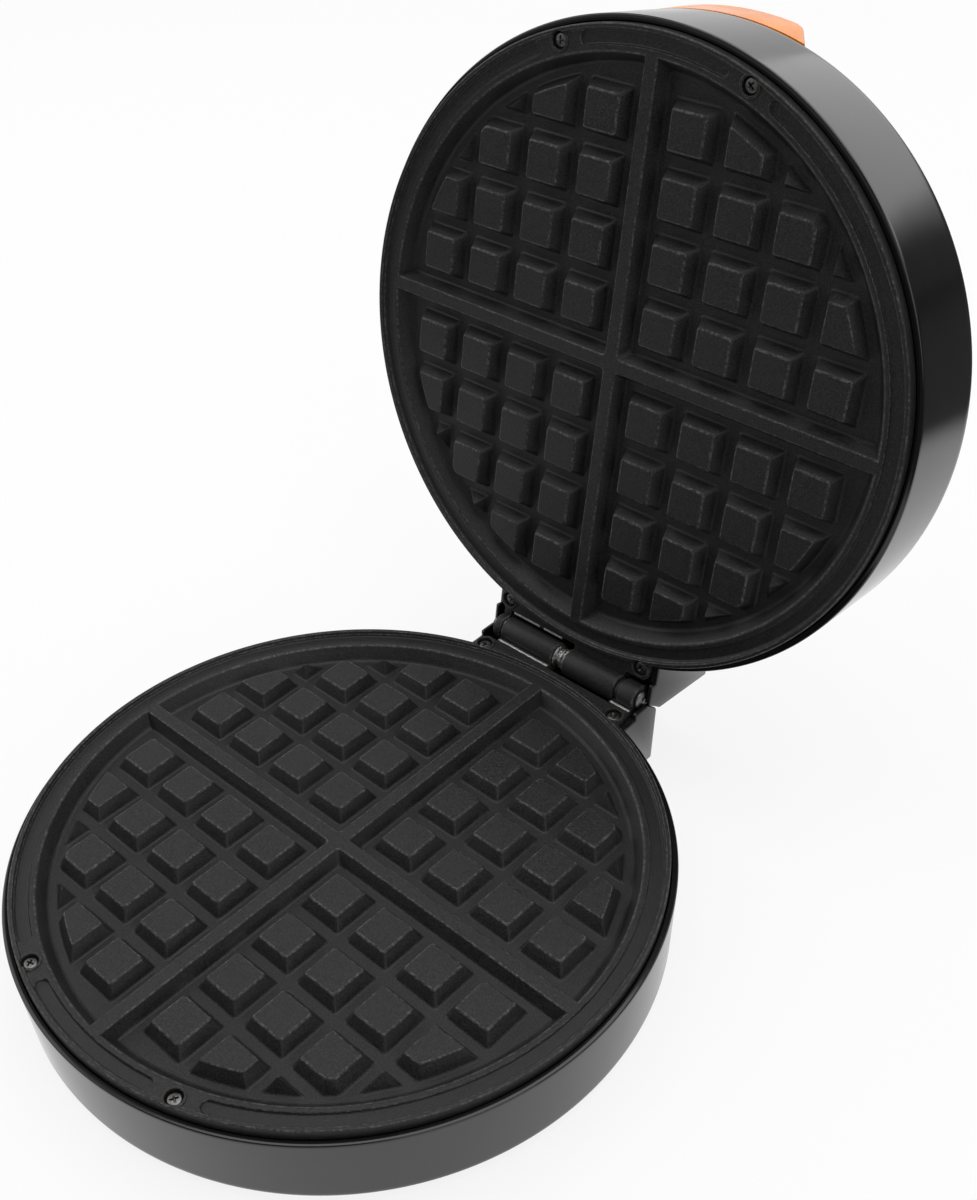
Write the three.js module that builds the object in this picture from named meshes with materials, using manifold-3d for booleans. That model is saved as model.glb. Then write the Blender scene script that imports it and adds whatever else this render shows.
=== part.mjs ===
// Round hinged waffle maker with four quarter waffles to a plate, lid open on its hinge stop.
// Millimetres, +Z up. The hinge is at the back (+Y) and the lid opens towards it.
// The base and the lid are each modelled cooking face up, about the centre of their own plate, with z = 0
// at the tops of the pips. The lid's half is then turned over and swung open about the hinge pin.
import * as THREE from "three";
import { mergeVertices } from "three/addons/utils/BufferGeometryUtils.js";
import Module from "manifold-3d";

const wasm = await Module();
wasm.setup();

// Driving dimensions of the cooking plates
const PIP_PITCH = 19;
const PIP_TOP_WIDTH = 11.5;
const PIP_HEIGHT = 4.5;
const PIP_DRAFT = 1.9;
const FIRST_PIP_OFFSET = 14.7;
const DIVIDER_TOP_WIDTH = 4.2;
const WELL_TOP_RADIUS = 89.2;
const WELL_WALL_DRAFT = 2.9;
const PIP_EDGE_MARGIN = 3;
const SMALLEST_STUB = 1;
const PLATE_FLOOR = 3;
const RIM_WIDTH = 7.7;
const RIM_THICKNESS = 2.4;
const LIP_WIDTH = 1.5;
const LIP_RISE = 0.9;
const LIP_CHAMFER = 0.4;
const GROOVE_INSET = 1.8;
const GROOVE_WIDTH = 4;
const GROOVE_DEPTH = 0.8;
const GROOVE_END_DISTANCE = 7;
const CLOSED_PIP_GAP = 2.4;

// Driving dimensions of the shells
const SHELL_WALL = 1.9;
const SHELL_FLOOR = 2.2;
const SHELL_RIM_DROP = 2.1;
const SHELL_TAPER = 1.25;
const SHELL_CORNER = 1.6;
const BASE_DEPTH = 26.8;
const LID_DEPTH = 32.5;

// Driving dimensions of the hinge
const HINGE_BEHIND_RIM = 8;
const OPEN_ANGLE = 100.3 * THREE.MathUtils.DEG2RAD;
const BARREL_RADIUS = 4.8;
const PIN_RADIUS = 2;
const PIN_HEAD_RADIUS = 3.4;
const PIN_HEAD_LENGTH = 1;
const UPPER_SHORT_KNUCKLE = 2.7;
const LOWER_LONG_KNUCKLE = 22.2;
const SPACER_LENGTH = 4.2;
const SPACER_RADIUS = 3.3;
const UPPER_LONG_KNUCKLE = 22;
const KNUCKLE_END_GAP = 1;
const LOWER_SHORT_KNUCKLE = 8.6;
const EAR_END_STEP = 0.75;
const EAR_THICKNESS = 3.5;
const EAR_CHAMFER = 1.5;
const EAR_TO_BARREL = 1.4;

// Driving dimensions of the hinge housings. The open lid rests along a plane that passes close under the
// pin, and each housing is cut back to its own side of that plane.
const CHEEK_CLEARANCE = 0.6;
const CHEEK_WALL = 1.3;
const BASE_HOUSING_RISE = 2.2;
const LID_HOUSING_RISE = 0.5;
const HOUSING_OVERHANG = 5.2;
const HOUSING_DRAFT = 2;
const SCOOP_CLEARANCE = 1;
const STOP_SLOPE = 41 * THREE.MathUtils.DEG2RAD;
const STOP_BELOW_PIN = 0.65;

// Clearances, and the overrun of every cut
const SEAT_GAP = 0.3;
const RUNNING_GAP = 0.3;
const STOP_GAP = 0.15;
const OVERRUN = 2;

// Driving dimensions of the screws and of what they go into
const SCREW_HEAD_RADIUS = 2.35;
const SCREW_HEAD_HEIGHT = 1.2;
const SCREW_HEAD_CHAMFER = 0.6;
const SCREW_SHANK_RADIUS = 1.4;
const SCREW_LENGTH = 10;
const SCREW_CROSS_LENGTH = 2.8;
const SCREW_CROSS_WIDTH = 0.7;
const SCREW_CROSS_DEPTH = 0.7;
const COUNTERBORE_CLEARANCE = 0.45;
const HEAD_SINK = 0.3;
const FRONT_SCREW_INSET = 3.4;
const FRONT_SCREW_ANGLE = 20 * THREE.MathUtils.DEG2RAD;
const REAR_SCREW_FROM_EAR_END = 3.2;
const REAR_SCREW_INSET = 3.8;
const SHELL_BOSS_RADIUS = 4;
const PLATE_BOSS_RADIUS = 3.2;
const PLATE_BOSS_HEIGHT = 2.2;
const PILOT_DEPTH = 9;

// Driving dimensions of the feet
const FOOT_PROUD = 3;
const FOOT_RADIUS = 6;
const FOOT_DRAFT = 0.8;
const FOOT_STEM_RADIUS = 2.4;
const FOOT_BARB_RADIUS = 3.4;
const FOOT_BARB_HEIGHT = 2;
const FOOT_EDGE_INSET = 8.5;
const REAR_FOOT_ANGLE = 24 * THREE.MathUtils.DEG2RAD;
const FRONT_FOOT_ANGLE = 32 * THREE.MathUtils.DEG2RAD;

// Driving dimensions of the vents in the base's floor
const VENT_COUNT = 8;
const VENT_INNER_RADIUS = 26;
const VENT_LENGTH = 24;
const VENT_WIDTH = 3;

// Driving dimensions of the handle
const HANDLE_BASE_WIDTH = 53.6;
const HANDLE_TOP_WIDTH = 33.6;
const HANDLE_HEIGHT = 14.3;
const HANDLE_REAR_HEIGHT = 12.5;
const HANDLE_CORNER = 5;
const HANDLE_CORNER_LEAN = 2.5;
const HANDLE_DEPTH = 27;
const HANDLE_POCKET_HEIGHT = 9.5;
const HANDLE_POCKET_WIDTH = 26;
const HANDLE_POCKET_DEPTH = 20;
const HANDLE_SCREW_SPACING = 38;
const HANDLE_SCREW_SETBACK = 13;
const HANDLE_SCREW_BITE = 7;

// Driving dimensions of the lamps
const LENS_RADIUS = 3;
const LENS_FLANGE_RADIUS = 4.2;
const LENS_FLANGE_HEIGHT = 0.9;
const LENS_DOME_HEIGHT = 0.7;
const LENS_DOME_SHOULDER = 0.35;
const LENS_LENGTH = 7;
const LENS_BORE_RADIUS = 1.9;
const LAMP_RADIUS = 1.5;
const LAMP_LENGTH = 9;
const LAMP_SPACING = 14;
const LAMP_BEHIND_HANDLE = 13;

// Driving dimensions of the heating parts
const ELEMENT_RADIUS = 3.2;
const ELEMENT_LOOP_RADIUS = 60;
const ELEMENT_OPENING = 26;
const ELEMENT_LEG = 2;
const ELEMENT_BEND = 5;
const REFLECTOR_BOSS_CLEARANCE = 9.5;
const REFLECTOR_THICKNESS = 0.8;
const REFLECTOR_LIP = 3;
const REFLECTOR_EYE_RADIUS = 12;
const REFLECTOR_LEG_CLEARANCE = 2;
const REFLECTOR_GAP = 0.5;
const POST_RADIUS = 4;
const POST_OFFSET = 40;
const POST_SCREW_BITE = 4;
const THERMOSTAT_RADIUS = 8;
const THERMOSTAT_HEIGHT = 7;
const THERMOSTAT_BLADE_SPACING = 8;
const THERMOSTAT_BLADE_WIDTH = 4;
const THERMOSTAT_BLADE_THICKNESS = 0.8;
const THERMOSTAT_BLADE_LENGTH = 4;
const FUSE_RADIUS = 2.4;
const FUSE_LENGTH = 24;
const FUSE_OFFSET = 22;

// Driving dimensions of the wiring and of the hole for the cord
const BLOCK_WIDTH = 26;
const BLOCK_DEPTH = 12;
const BLOCK_TOP_CLEARANCE = 2.3;
const BLOCK_BEHIND_LEGS = 12.3;
const BLOCK_SCREW_RADIUS = 1.8;
const BLOCK_SCREW_SHARE = 0.4;
const BLOCK_SCREW_PITCH = 8.5;
const LEAD_RADIUS = 1.2;
const LEAD_SWEEP = 14;
const BUSHING_BORE_RADIUS = 3.4;
const BUSHING_NECK_RADIUS = 4.6;
const BUSHING_FLANGE_RADIUS = 6.2;
const BUSHING_FLANGE_LENGTH = 1.8;
const BUSHING_FLANGE_CHAMFER = 0.9;
const BUSHING_X = 18;

// Facets around large rounds, small rounds, screws and each half round of a bent tube
const RIM_FACETS = 64;
const ROUND_FACETS = 16;
const SCREW_FACETS = 10;
const TUBE_FACETS = 4;
const LEAD_FACETS = 3;
const ELEMENT_STEPS = 44;
const LEAD_STEPS = 14;

// Sizes worked out from the ones above
const WELL_FLOOR_RADIUS = WELL_TOP_RADIUS - WELL_WALL_DRAFT;
const PLATE_RADIUS = WELL_TOP_RADIUS + RIM_WIDTH;
const PLATE_UNDERSIDE = -(PIP_HEIGHT + PLATE_FLOOR);
const SHELL_TOP_RADIUS = PLATE_RADIUS + SEAT_GAP + SHELL_WALL;
const SHELL_FOOT_RADIUS = SHELL_TOP_RADIUS - SHELL_TAPER;
const HINGE_Y = PLATE_RADIUS + HINGE_BEHIND_RIM;
const HINGE_Z = CLOSED_PIP_GAP / 2;
const EAR_Y = HINGE_Y - BARREL_RADIUS - EAR_TO_BARREL;
const KNUCKLE_RUN = UPPER_SHORT_KNUCKLE + LOWER_LONG_KNUCKLE + SPACER_LENGTH + UPPER_LONG_KNUCKLE
  + KNUCKLE_END_GAP + LOWER_SHORT_KNUCKLE + PIN_HEAD_LENGTH + 4 * SEAT_GAP;
const EAR_HALF_WIDTH = KNUCKLE_RUN / 2 - EAR_END_STEP;
const REAR_SCREW_X = EAR_HALF_WIDTH - REAR_SCREW_FROM_EAR_END;
const HOUSING_INNER_HALF = KNUCKLE_RUN / 2 + CHEEK_CLEARANCE;
const HOUSING_HALF = HOUSING_INNER_HALF + CHEEK_WALL;
const CHEEK_FRONT_Y = EAR_Y + SEAT_GAP;
const NOTCH_FLOOR = -(EAR_THICKNESS + SEAT_GAP);
const SCOOP_RADIUS = BARREL_RADIUS + SCOOP_CLEARANCE;
const CAVITY_TOP = HINGE_Z - SCOOP_RADIUS - SHELL_WALL;
const HOUSING_REAR_Y = HINGE_Y + HOUSING_OVERHANG;
const PLATE_LEVEL = FOOT_PROUD + BASE_DEPTH;
const SCREW_HOLE_RADIUS = SCREW_SHANK_RADIUS + SEAT_GAP;
const ELEMENT_LEVEL = PLATE_UNDERSIDE - SEAT_GAP - ELEMENT_RADIUS;
const REFLECTOR_LEVEL = ELEMENT_LEVEL - ELEMENT_RADIUS - REFLECTOR_GAP;
const REFLECTOR_RADIUS = PLATE_RADIUS - FRONT_SCREW_INSET - SHELL_BOSS_RADIUS
  - REFLECTOR_BOSS_CLEARANCE;
const BLOCK_HEIGHT = BASE_DEPTH - SHELL_FLOOR - SEAT_GAP + REFLECTOR_LEVEL - REFLECTOR_THICKNESS
  - BLOCK_TOP_CLEARANCE;
const BLOCK_SCREW_DEPTH = BLOCK_SCREW_SHARE * BLOCK_HEIGHT;
const LENS_Y = -(SHELL_FOOT_RADIUS - HANDLE_DEPTH - LAMP_BEHIND_HANDLE);
const HANDLE_SCREW_Y = -(SHELL_FOOT_RADIUS - HANDLE_SCREW_SETBACK);

// Where each knuckle starts and ends along the pin, worked out from the left end
const UPPER_SHORT_START = -KNUCKLE_RUN / 2;
const LOWER_LONG_START = UPPER_SHORT_START + UPPER_SHORT_KNUCKLE + SEAT_GAP;
const SPACER_START = LOWER_LONG_START + LOWER_LONG_KNUCKLE + SEAT_GAP;
const UPPER_LONG_START = SPACER_START + SPACER_LENGTH + SEAT_GAP;
const LOWER_SHORT_START = UPPER_LONG_START + UPPER_LONG_KNUCKLE + KNUCKLE_END_GAP;
const PIN_HEAD_START = LOWER_SHORT_START + LOWER_SHORT_KNUCKLE + SEAT_GAP;
const LOWER_KNUCKLES = [
  [LOWER_LONG_START, LOWER_LONG_START + LOWER_LONG_KNUCKLE],
  [LOWER_SHORT_START, LOWER_SHORT_START + LOWER_SHORT_KNUCKLE],
];
const UPPER_KNUCKLES = [
  [UPPER_SHORT_START, UPPER_SHORT_START + UPPER_SHORT_KNUCKLE],
  [UPPER_LONG_START, UPPER_LONG_START + UPPER_LONG_KNUCKLE],
];

// Materials
function material(color, roughness, metalness) {
  return new THREE.MeshStandardMaterial({ color, roughness, metalness });
}
const glossBlack = material(0x111112, 0.12, 0);
const nonStick = material(0x1c1c1d, 0.6, 0.1);
const orangeGloss = material(0xf58a1c, 0.2, 0);
const blackRubber = material(0x1a1a1a, 0.85, 0);
const darkScrew = material(0x3a3a3c, 0.4, 0.9);
const bareSteel = material(0xb5b5b8, 0.35, 1);
const aluminised = material(0xc8cacc, 0.45, 0.9);
const darkSheath = material(0x6f7a72, 0.5, 0.8);
const ceramic = material(0xe6e1d6, 0.6, 0);
const glassSleeve = material(0xd9d3c4, 0.9, 0);
const redLens = material(0xc81e1e, 0.15, 0);
const greenLens = material(0x2fa84a, 0.15, 0);
const neonGlass = material(0xf0d8c0, 0.1, 0);

// A closed solid from any closed geometry. Triangles that fold onto the axis of a round are left out.
function solid(shape) {
  if (!(shape instanceof THREE.BufferGeometry)) return shape;
  const bare = shape.clone();
  bare.deleteAttribute("normal");
  bare.deleteAttribute("uv");
  const merged = mergeVertices(bare);
  const corners = merged.index.array;
  const kept = [];
  for (let i = 0; i < corners.length; i += 3) {
    const [a, b, c] = [corners[i], corners[i + 1], corners[i + 2]];
    if (a !== b && b !== c && c !== a) kept.push(a, b, c);
  }
  const vertProperties = new Float32Array(merged.attributes.position.array);
  const triVerts = new Uint32Array(kept);
  return new wasm.Manifold(new wasm.Mesh({ numProp: 3, vertProperties, triVerts }));
}

function join(first, ...others) {
  return others.reduce((sum, other) => sum.add(solid(other)), solid(first));
}

function cut(first, ...tools) {
  return tools.reduce((rest, tool) => rest.subtract(solid(tool)), solid(first));
}

function common(first, second) {
  return solid(first).intersect(solid(second));
}

function geometryOf(manifold) {
  const mesh = manifold.getMesh();
  const geometry = new THREE.BufferGeometry();
  geometry.setAttribute("position", new THREE.BufferAttribute(mesh.vertProperties, 3));
  geometry.setIndex(new THREE.BufferAttribute(mesh.triVerts, 1));
  geometry.computeVertexNormals();
  return geometry;
}

// Basic shapes, placed by their real corners or ends
function block([x0, x1], [y0, y1], [z0, z1]) {
  const box = new THREE.BoxGeometry(x1 - x0, y1 - y0, z1 - z0);
  return box.translate((x0 + x1) / 2, (y0 + y1) / 2, (z0 + z1) / 2);
}

function upright(radius, [z0, z1], facets = ROUND_FACETS, x = 0, y = 0) {
  const cylinder = new THREE.CylinderGeometry(radius, radius, z1 - z0, facets);
  return cylinder.rotateX(Math.PI / 2).translate(x, y, (z0 + z1) / 2);
}

function crosswise(radius, [x0, x1], y, z, facets = ROUND_FACETS) {
  const cylinder = new THREE.CylinderGeometry(radius, radius, x1 - x0, facets);
  return cylinder.rotateZ(Math.PI / 2).translate((x0 + x1) / 2, y, z);
}

// A turned shape about Z from an outline of [radius, height] pairs that runs from low to high outside
function turned(outline, facets = RIM_FACETS) {
  const points = outline.map(([radius, height]) => new THREE.Vector2(radius, height));
  return new THREE.LatheGeometry(points, facets).rotateX(Math.PI / 2);
}

// A flat outline of [x, y] pairs made thick along Z, from z0 to z1
function slab(outline, [z0, z1]) {
  const shape = new THREE.Shape(outline.map(([x, y]) => new THREE.Vector2(x, y)));
  const geometry = new THREE.ExtrudeGeometry(shape, { depth: z1 - z0, bevelEnabled: false });
  return geometry.translate(0, 0, z0);
}

// An outline of [y, z] pairs made thick along X, from x0 to x1
function crossSlab(outline, [x0, x1]) {
  const geometry = slab(outline, [0, x1 - x0]);
  geometry.rotateX(Math.PI / 2).rotateZ(Math.PI / 2);
  return geometry.translate(x0, 0, 0);
}

// A round tube along a curve
function tube(curve, radius, steps, facets) {
  const section = new THREE.Shape();
  section.absarc(0, 0, radius, 0, 2 * Math.PI);
  const options = { steps, extrudePath: curve, bevelEnabled: false, curveSegments: facets };
  return new THREE.ExtrudeGeometry(section, options);
}

// Places of the four plate screws, which hold a plate down to its shell
function plateScrewPlaces() {
  const frontRadius = PLATE_RADIUS - FRONT_SCREW_INSET;
  const frontX = frontRadius * Math.sin(FRONT_SCREW_ANGLE);
  const frontY = -frontRadius * Math.cos(FRONT_SCREW_ANGLE);
  const rearY = EAR_Y - REAR_SCREW_INSET;
  return [
    { x: -frontX, y: frontY, rear: false },
    { x: frontX, y: frontY, rear: false },
    { x: REAR_SCREW_X, y: rearY, rear: true },
    { x: -REAR_SCREW_X, y: rearY, rear: true },
  ];
}

// Places along X of the two posts under a plate that carry its reflector
function postPlaces() {
  return [-POST_OFFSET, POST_OFFSET];
}

// Cooking plate
function plateBody() {
  const undersideRadius = WELL_FLOOR_RADIUS + SHELL_WALL;
  const lipFoot = PLATE_RADIUS - LIP_WIDTH;
  return turned([
    [0, PLATE_UNDERSIDE],
    [undersideRadius, PLATE_UNDERSIDE],
    [undersideRadius + WELL_WALL_DRAFT, -RIM_THICKNESS],
    [PLATE_RADIUS, -RIM_THICKNESS],
    [PLATE_RADIUS, LIP_RISE - LIP_CHAMFER],
    [PLATE_RADIUS - LIP_CHAMFER, LIP_RISE],
    [lipFoot + LIP_CHAMFER, LIP_RISE],
    [lipFoot, 0],
    [WELL_TOP_RADIUS, 0],
    [WELL_FLOOR_RADIUS, -PIP_HEIGHT],
    [0, -PIP_HEIGHT],
  ]);
}

// One pip, a square frustum that reaches a little way down into the plate's floor
function pip(x, y) {
  const diagonal = Math.SQRT1_2;
  const height = PIP_HEIGHT + PLATE_FLOOR / 2;
  const draft = PIP_DRAFT * height / PIP_HEIGHT;
  const top = PIP_TOP_WIDTH * diagonal;
  const bottom = (PIP_TOP_WIDTH + 2 * draft) * diagonal;
  const frustum = new THREE.CylinderGeometry(top, bottom, height, 4);
  return frustum.rotateY(Math.PI / 4).rotateX(Math.PI / 2).translate(x, y, -height / 2);
}

// The cone that clips the outer pips to the round of the plate
function pipClip() {
  const floorRadius = WELL_FLOOR_RADIUS - PIP_EDGE_MARGIN;
  const height = PIP_HEIGHT + PLATE_FLOOR;
  const cone = new THREE.CylinderGeometry(
    floorRadius - PIP_DRAFT,
    floorRadius + PIP_DRAFT * PLATE_FLOOR / PIP_HEIGHT,
    height,
    RIM_FACETS,
  );
  return cone.rotateX(Math.PI / 2).translate(0, 0, -height / 2);
}

function pips() {
  const clip = solid(pipClip());
  const reach = WELL_FLOOR_RADIUS - PIP_EDGE_MARGIN;
  const halfFoot = PIP_TOP_WIDTH / 2 + PIP_DRAFT;
  const found = [];
  for (let i = 0; FIRST_PIP_OFFSET + i * PIP_PITCH - halfFoot < reach; i += 1) {
    for (let j = 0; FIRST_PIP_OFFSET + j * PIP_PITCH - halfFoot < reach; j += 1) {
      const x = FIRST_PIP_OFFSET + i * PIP_PITCH;
      const y = FIRST_PIP_OFFSET + j * PIP_PITCH;
      if (Math.hypot(x - halfFoot, y - halfFoot) > reach - SMALLEST_STUB) continue;
      const cornered = Math.hypot(x + halfFoot, y + halfFoot) > reach - PIP_DRAFT;
      for (const [sideX, sideY] of [[1, 1], [-1, 1], [-1, -1], [1, -1]]) {
        const whole = solid(pip(sideX * x, sideY * y));
        found.push(cornered ? whole.intersect(clip) : whole);
      }
    }
  }
  return found;
}

// The two ridges that part the four quarters, as wide at the foot as their draft makes them
function dividers() {
  const depth = PIP_HEIGHT + PLATE_FLOOR / 2;
  const topHalf = DIVIDER_TOP_WIDTH / 2;
  const footHalf = topHalf + PIP_DRAFT * depth / PIP_HEIGHT;
  const reach = (WELL_TOP_RADIUS + WELL_FLOOR_RADIUS) / 2;
  const section = [[-footHalf, -depth], [footHalf, -depth], [topHalf, 0], [-topHalf, 0]];
  const along = crossSlab(section, [-reach, reach]);
  const across = crossSlab(section, [-reach, reach]).rotateZ(Math.PI / 2);
  const bound = turned([
    [0, -depth],
    [WELL_FLOOR_RADIUS + WELL_WALL_DRAFT / 2, -depth],
    [WELL_FLOOR_RADIUS + WELL_WALL_DRAFT / 2, -PIP_HEIGHT],
    [WELL_TOP_RADIUS + WELL_WALL_DRAFT / 2, 0],
    [0, 0],
  ]);
  return common(join(along, across), bound);
}

// One groove in the rim, an arc from one angle to another with round ends
function rimGroove(start, end) {
  const middle = WELL_TOP_RADIUS + GROOVE_INSET + GROOVE_WIDTH / 2;
  const half = GROOVE_WIDTH / 2;
  const steps = Math.ceil(RIM_FACETS * (end - start) / (2 * Math.PI));
  const arc = (radius, angle) => [radius * Math.cos(angle), radius * Math.sin(angle)];
  const outline = [];
  for (let i = 0; i <= steps; i += 1) {
    outline.push(arc(middle + half, start + (end - start) * i / steps));
  }
  outline.push(arc(middle, end + half / middle));
  for (let i = steps; i >= 0; i -= 1) {
    outline.push(arc(middle - half, start + (end - start) * i / steps));
  }
  outline.push(arc(middle, start - half / middle));
  return slab(outline, [-GROOVE_DEPTH, OVERRUN]);
}

function rimGrooves() {
  const ends = (GROOVE_END_DISTANCE + GROOVE_WIDTH / 2) / WELL_TOP_RADIUS;
  const left = -Math.PI / 2 - FRONT_SCREW_ANGLE;
  const right = -Math.PI / 2 + FRONT_SCREW_ANGLE;
  return [
    rimGroove(left + ends, right - ends),
    rimGroove(right + ends, left + 2 * Math.PI - ends),
  ];
}

// The flat ear behind the rim that carries the knuckles
function ear() {
  const outline = [
    [-EAR_HALF_WIDTH, WELL_FLOOR_RADIUS],
    [EAR_HALF_WIDTH, WELL_FLOOR_RADIUS],
    [EAR_HALF_WIDTH, EAR_Y - EAR_CHAMFER],
    [EAR_HALF_WIDTH - EAR_CHAMFER, EAR_Y],
    [EAR_CHAMFER - EAR_HALF_WIDTH, EAR_Y],
    [-EAR_HALF_WIDTH, EAR_Y - EAR_CHAMFER],
  ];
  const inside = upright(PLATE_RADIUS - LIP_WIDTH, [-EAR_THICKNESS - OVERRUN, OVERRUN], RIM_FACETS);
  return cut(slab(outline, [-EAR_THICKNESS, 0]), inside);
}

// One knuckle with the web that joins it to the ear
function knuckle([x0, x1]) {
  const barrel = crosswise(BARREL_RADIUS, [x0, x1], HINGE_Y, HINGE_Z);
  const web = block([x0, x1], [EAR_Y - EAR_CHAMFER, HINGE_Y], [-EAR_THICKNESS, 0]);
  return join(barrel, web);
}

function plateScrewHole({ x, y }) {
  const through = upright(SCREW_HOLE_RADIUS, [PLATE_UNDERSIDE, OVERRUN], SCREW_FACETS, x, y);
  const seat = -(HEAD_SINK + SCREW_HEAD_HEIGHT + SEAT_GAP);
  const recess = upright(SCREW_HEAD_RADIUS + COUNTERBORE_CLEARANCE, [seat, OVERRUN], ROUND_FACETS, x, y);
  return join(through, recess);
}

function cookingPlate(knuckles) {
  const places = plateScrewPlaces();
  const frontBosses = places.filter(({ rear }) => !rear).map(({ x, y }) => (
    upright(PLATE_BOSS_RADIUS, [-RIM_THICKNESS - PLATE_BOSS_HEIGHT, -RIM_THICKNESS / 2], SCREW_FACETS, x, y)
  ));
  const postBottom = REFLECTOR_LEVEL + SEAT_GAP;
  const postSpan = [postBottom, PLATE_UNDERSIDE + PLATE_FLOOR / 2];
  const postHoleSpan = [postBottom - OVERRUN, postBottom + POST_SCREW_BITE + SEAT_GAP];
  const posts = postPlaces().map((x) => upright(POST_RADIUS, postSpan, SCREW_FACETS, x, 0));
  const postHoles = postPlaces().map((x) => upright(SCREW_HOLE_RADIUS, postHoleSpan, SCREW_FACETS, x, 0));
  const bore = crosswise(PIN_RADIUS + RUNNING_GAP, [-KNUCKLE_RUN, KNUCKLE_RUN], HINGE_Y, HINGE_Z);
  const grooved = cut(plateBody(), ...rimGrooves());
  const cookingFace = join(grooved, dividers(), ...pips());
  const casting = join(cookingFace, ear(), ...knuckles.map(knuckle), ...frontBosses, ...posts);
  return cut(casting, bore, ...places.map(plateScrewHole), ...postHoles);
}

// Shell, the bowl with its half of the hinge housing at the back
function bowl({ depth }) {
  return turned([
    [0, -depth],
    [SHELL_FOOT_RADIUS - SHELL_CORNER, -depth],
    [SHELL_FOOT_RADIUS, -depth + SHELL_CORNER],
    [SHELL_TOP_RADIUS, -SHELL_RIM_DROP],
    [0, -SHELL_RIM_DROP],
  ]);
}

function bowlInside({ depth }) {
  const footRadius = SHELL_FOOT_RADIUS - SHELL_WALL;
  const topRadius = SHELL_TOP_RADIUS - SHELL_WALL;
  return turned([
    [0, SHELL_FLOOR - depth],
    [footRadius - SHELL_CORNER, SHELL_FLOOR - depth],
    [footRadius, SHELL_FLOOR - depth + SHELL_CORNER],
    [topRadius, -SHELL_RIM_DROP],
    [topRadius, OVERRUN],
    [0, OVERRUN],
  ]);
}

// The two halves differ in depth, and in how steeply each is cut back from the plane the lid rests along
const BASE_HALF = {
  depth: BASE_DEPTH,
  housingBottom: BASE_HOUSING_RISE - BASE_DEPTH,
  slope: STOP_SLOPE,
  past: -STOP_BELOW_PIN - STOP_GAP,
};
const LID_HALF = {
  depth: LID_DEPTH,
  housingBottom: LID_HOUSING_RISE - LID_DEPTH,
  slope: OPEN_ANGLE - STOP_SLOPE,
  past: STOP_BELOW_PIN - STOP_GAP,
};

// The housing's back, which starts where the stop plane ends and slopes in at the foot
function housingBack({ housingBottom, slope, past }) {
  const top = HINGE_Z + (past - HOUSING_OVERHANG * Math.sin(slope)) / Math.cos(slope);
  const drop = top - housingBottom;
  const lean = Math.atan2(HOUSING_DRAFT, drop);
  return { top, lean, at: (z) => HOUSING_REAR_Y - HOUSING_DRAFT * (top - z) / drop };
}

// The housing's outside from the side. Its cheeks stand as high as the pips, and behind the pin it falls
// along the stop plane to its back.
function housing(half) {
  const { housingBottom, slope, past } = half;
  const stopStartY = HINGE_Y + (past + HINGE_Z * Math.cos(slope)) / Math.sin(slope);
  const stopEndZ = housingBack(half).top;
  const outline = [
    [WELL_FLOOR_RADIUS, housingBottom],
    [HOUSING_REAR_Y - HOUSING_DRAFT, housingBottom],
    [HOUSING_REAR_Y, stopEndZ],
    [stopStartY, 0],
    [CHEEK_FRONT_Y, 0],
    [CHEEK_FRONT_Y, -SHELL_RIM_DROP],
    [WELL_FLOOR_RADIUS, -SHELL_RIM_DROP],
  ];
  return crossSlab(outline, [-HOUSING_HALF, HOUSING_HALF]);
}

function housingInside(half) {
  const bottom = half.housingBottom + SHELL_WALL;
  const back = housingBack(half);
  const outline = [
    [WELL_FLOOR_RADIUS - OVERRUN, bottom],
    [back.at(bottom) - SHELL_WALL, bottom],
    [back.at(CAVITY_TOP) - SHELL_WALL, CAVITY_TOP],
    [WELL_FLOOR_RADIUS - OVERRUN, CAVITY_TOP],
  ];
  return crossSlab(outline, [-HOUSING_INNER_HALF, HOUSING_INNER_HALF]);
}

// Room for the plate's ear, and for the knuckles as they turn
function hingeRoom() {
  const above = BARREL_RADIUS + OVERRUN;
  const earHalf = EAR_HALF_WIDTH + SEAT_GAP;
  const earRoom = block([-earHalf, earHalf], [WELL_FLOOR_RADIUS, CHEEK_FRONT_Y], [NOTCH_FLOOR, above]);
  const across = [-HOUSING_INNER_HALF, HOUSING_INNER_HALF];
  const webRoom = block(across, [CHEEK_FRONT_Y - OVERRUN, HINGE_Y], [NOTCH_FLOOR, above]);
  const scoop = crosswise(SCOOP_RADIUS, across, HINGE_Y, HINGE_Z, 2 * ROUND_FACETS);
  return join(earRoom, webRoom, scoop);
}

function shellBoss({ depth, housingBottom }, { x, y, rear }) {
  const top = rear ? NOTCH_FLOOR : -(RIM_THICKNESS + PLATE_BOSS_HEIGHT + SEAT_GAP);
  const bottom = rear ? housingBottom + SHELL_WALL / 2 : SHELL_FLOOR / 2 - depth;
  return upright(SHELL_BOSS_RADIUS, [bottom, top], ROUND_FACETS, x, y);
}

function shellPilot({ x, y, rear }) {
  const top = rear ? NOTCH_FLOOR : -(RIM_THICKNESS + PLATE_BOSS_HEIGHT + SEAT_GAP);
  return upright(SCREW_HOLE_RADIUS, [top - PILOT_DEPTH, top + OVERRUN], SCREW_FACETS, x, y);
}

function shell(half) {
  const outside = join(bowl(half), housing(half));
  const hollow = cut(outside, bowlInside(half), housingInside(half));
  const places = plateScrewPlaces();
  const bounded = places.map((place) => common(shellBoss(half, place), outside));
  const bossed = join(hollow, ...bounded);
  return cut(bossed, hingeRoom(), ...places.map(shellPilot));
}

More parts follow.
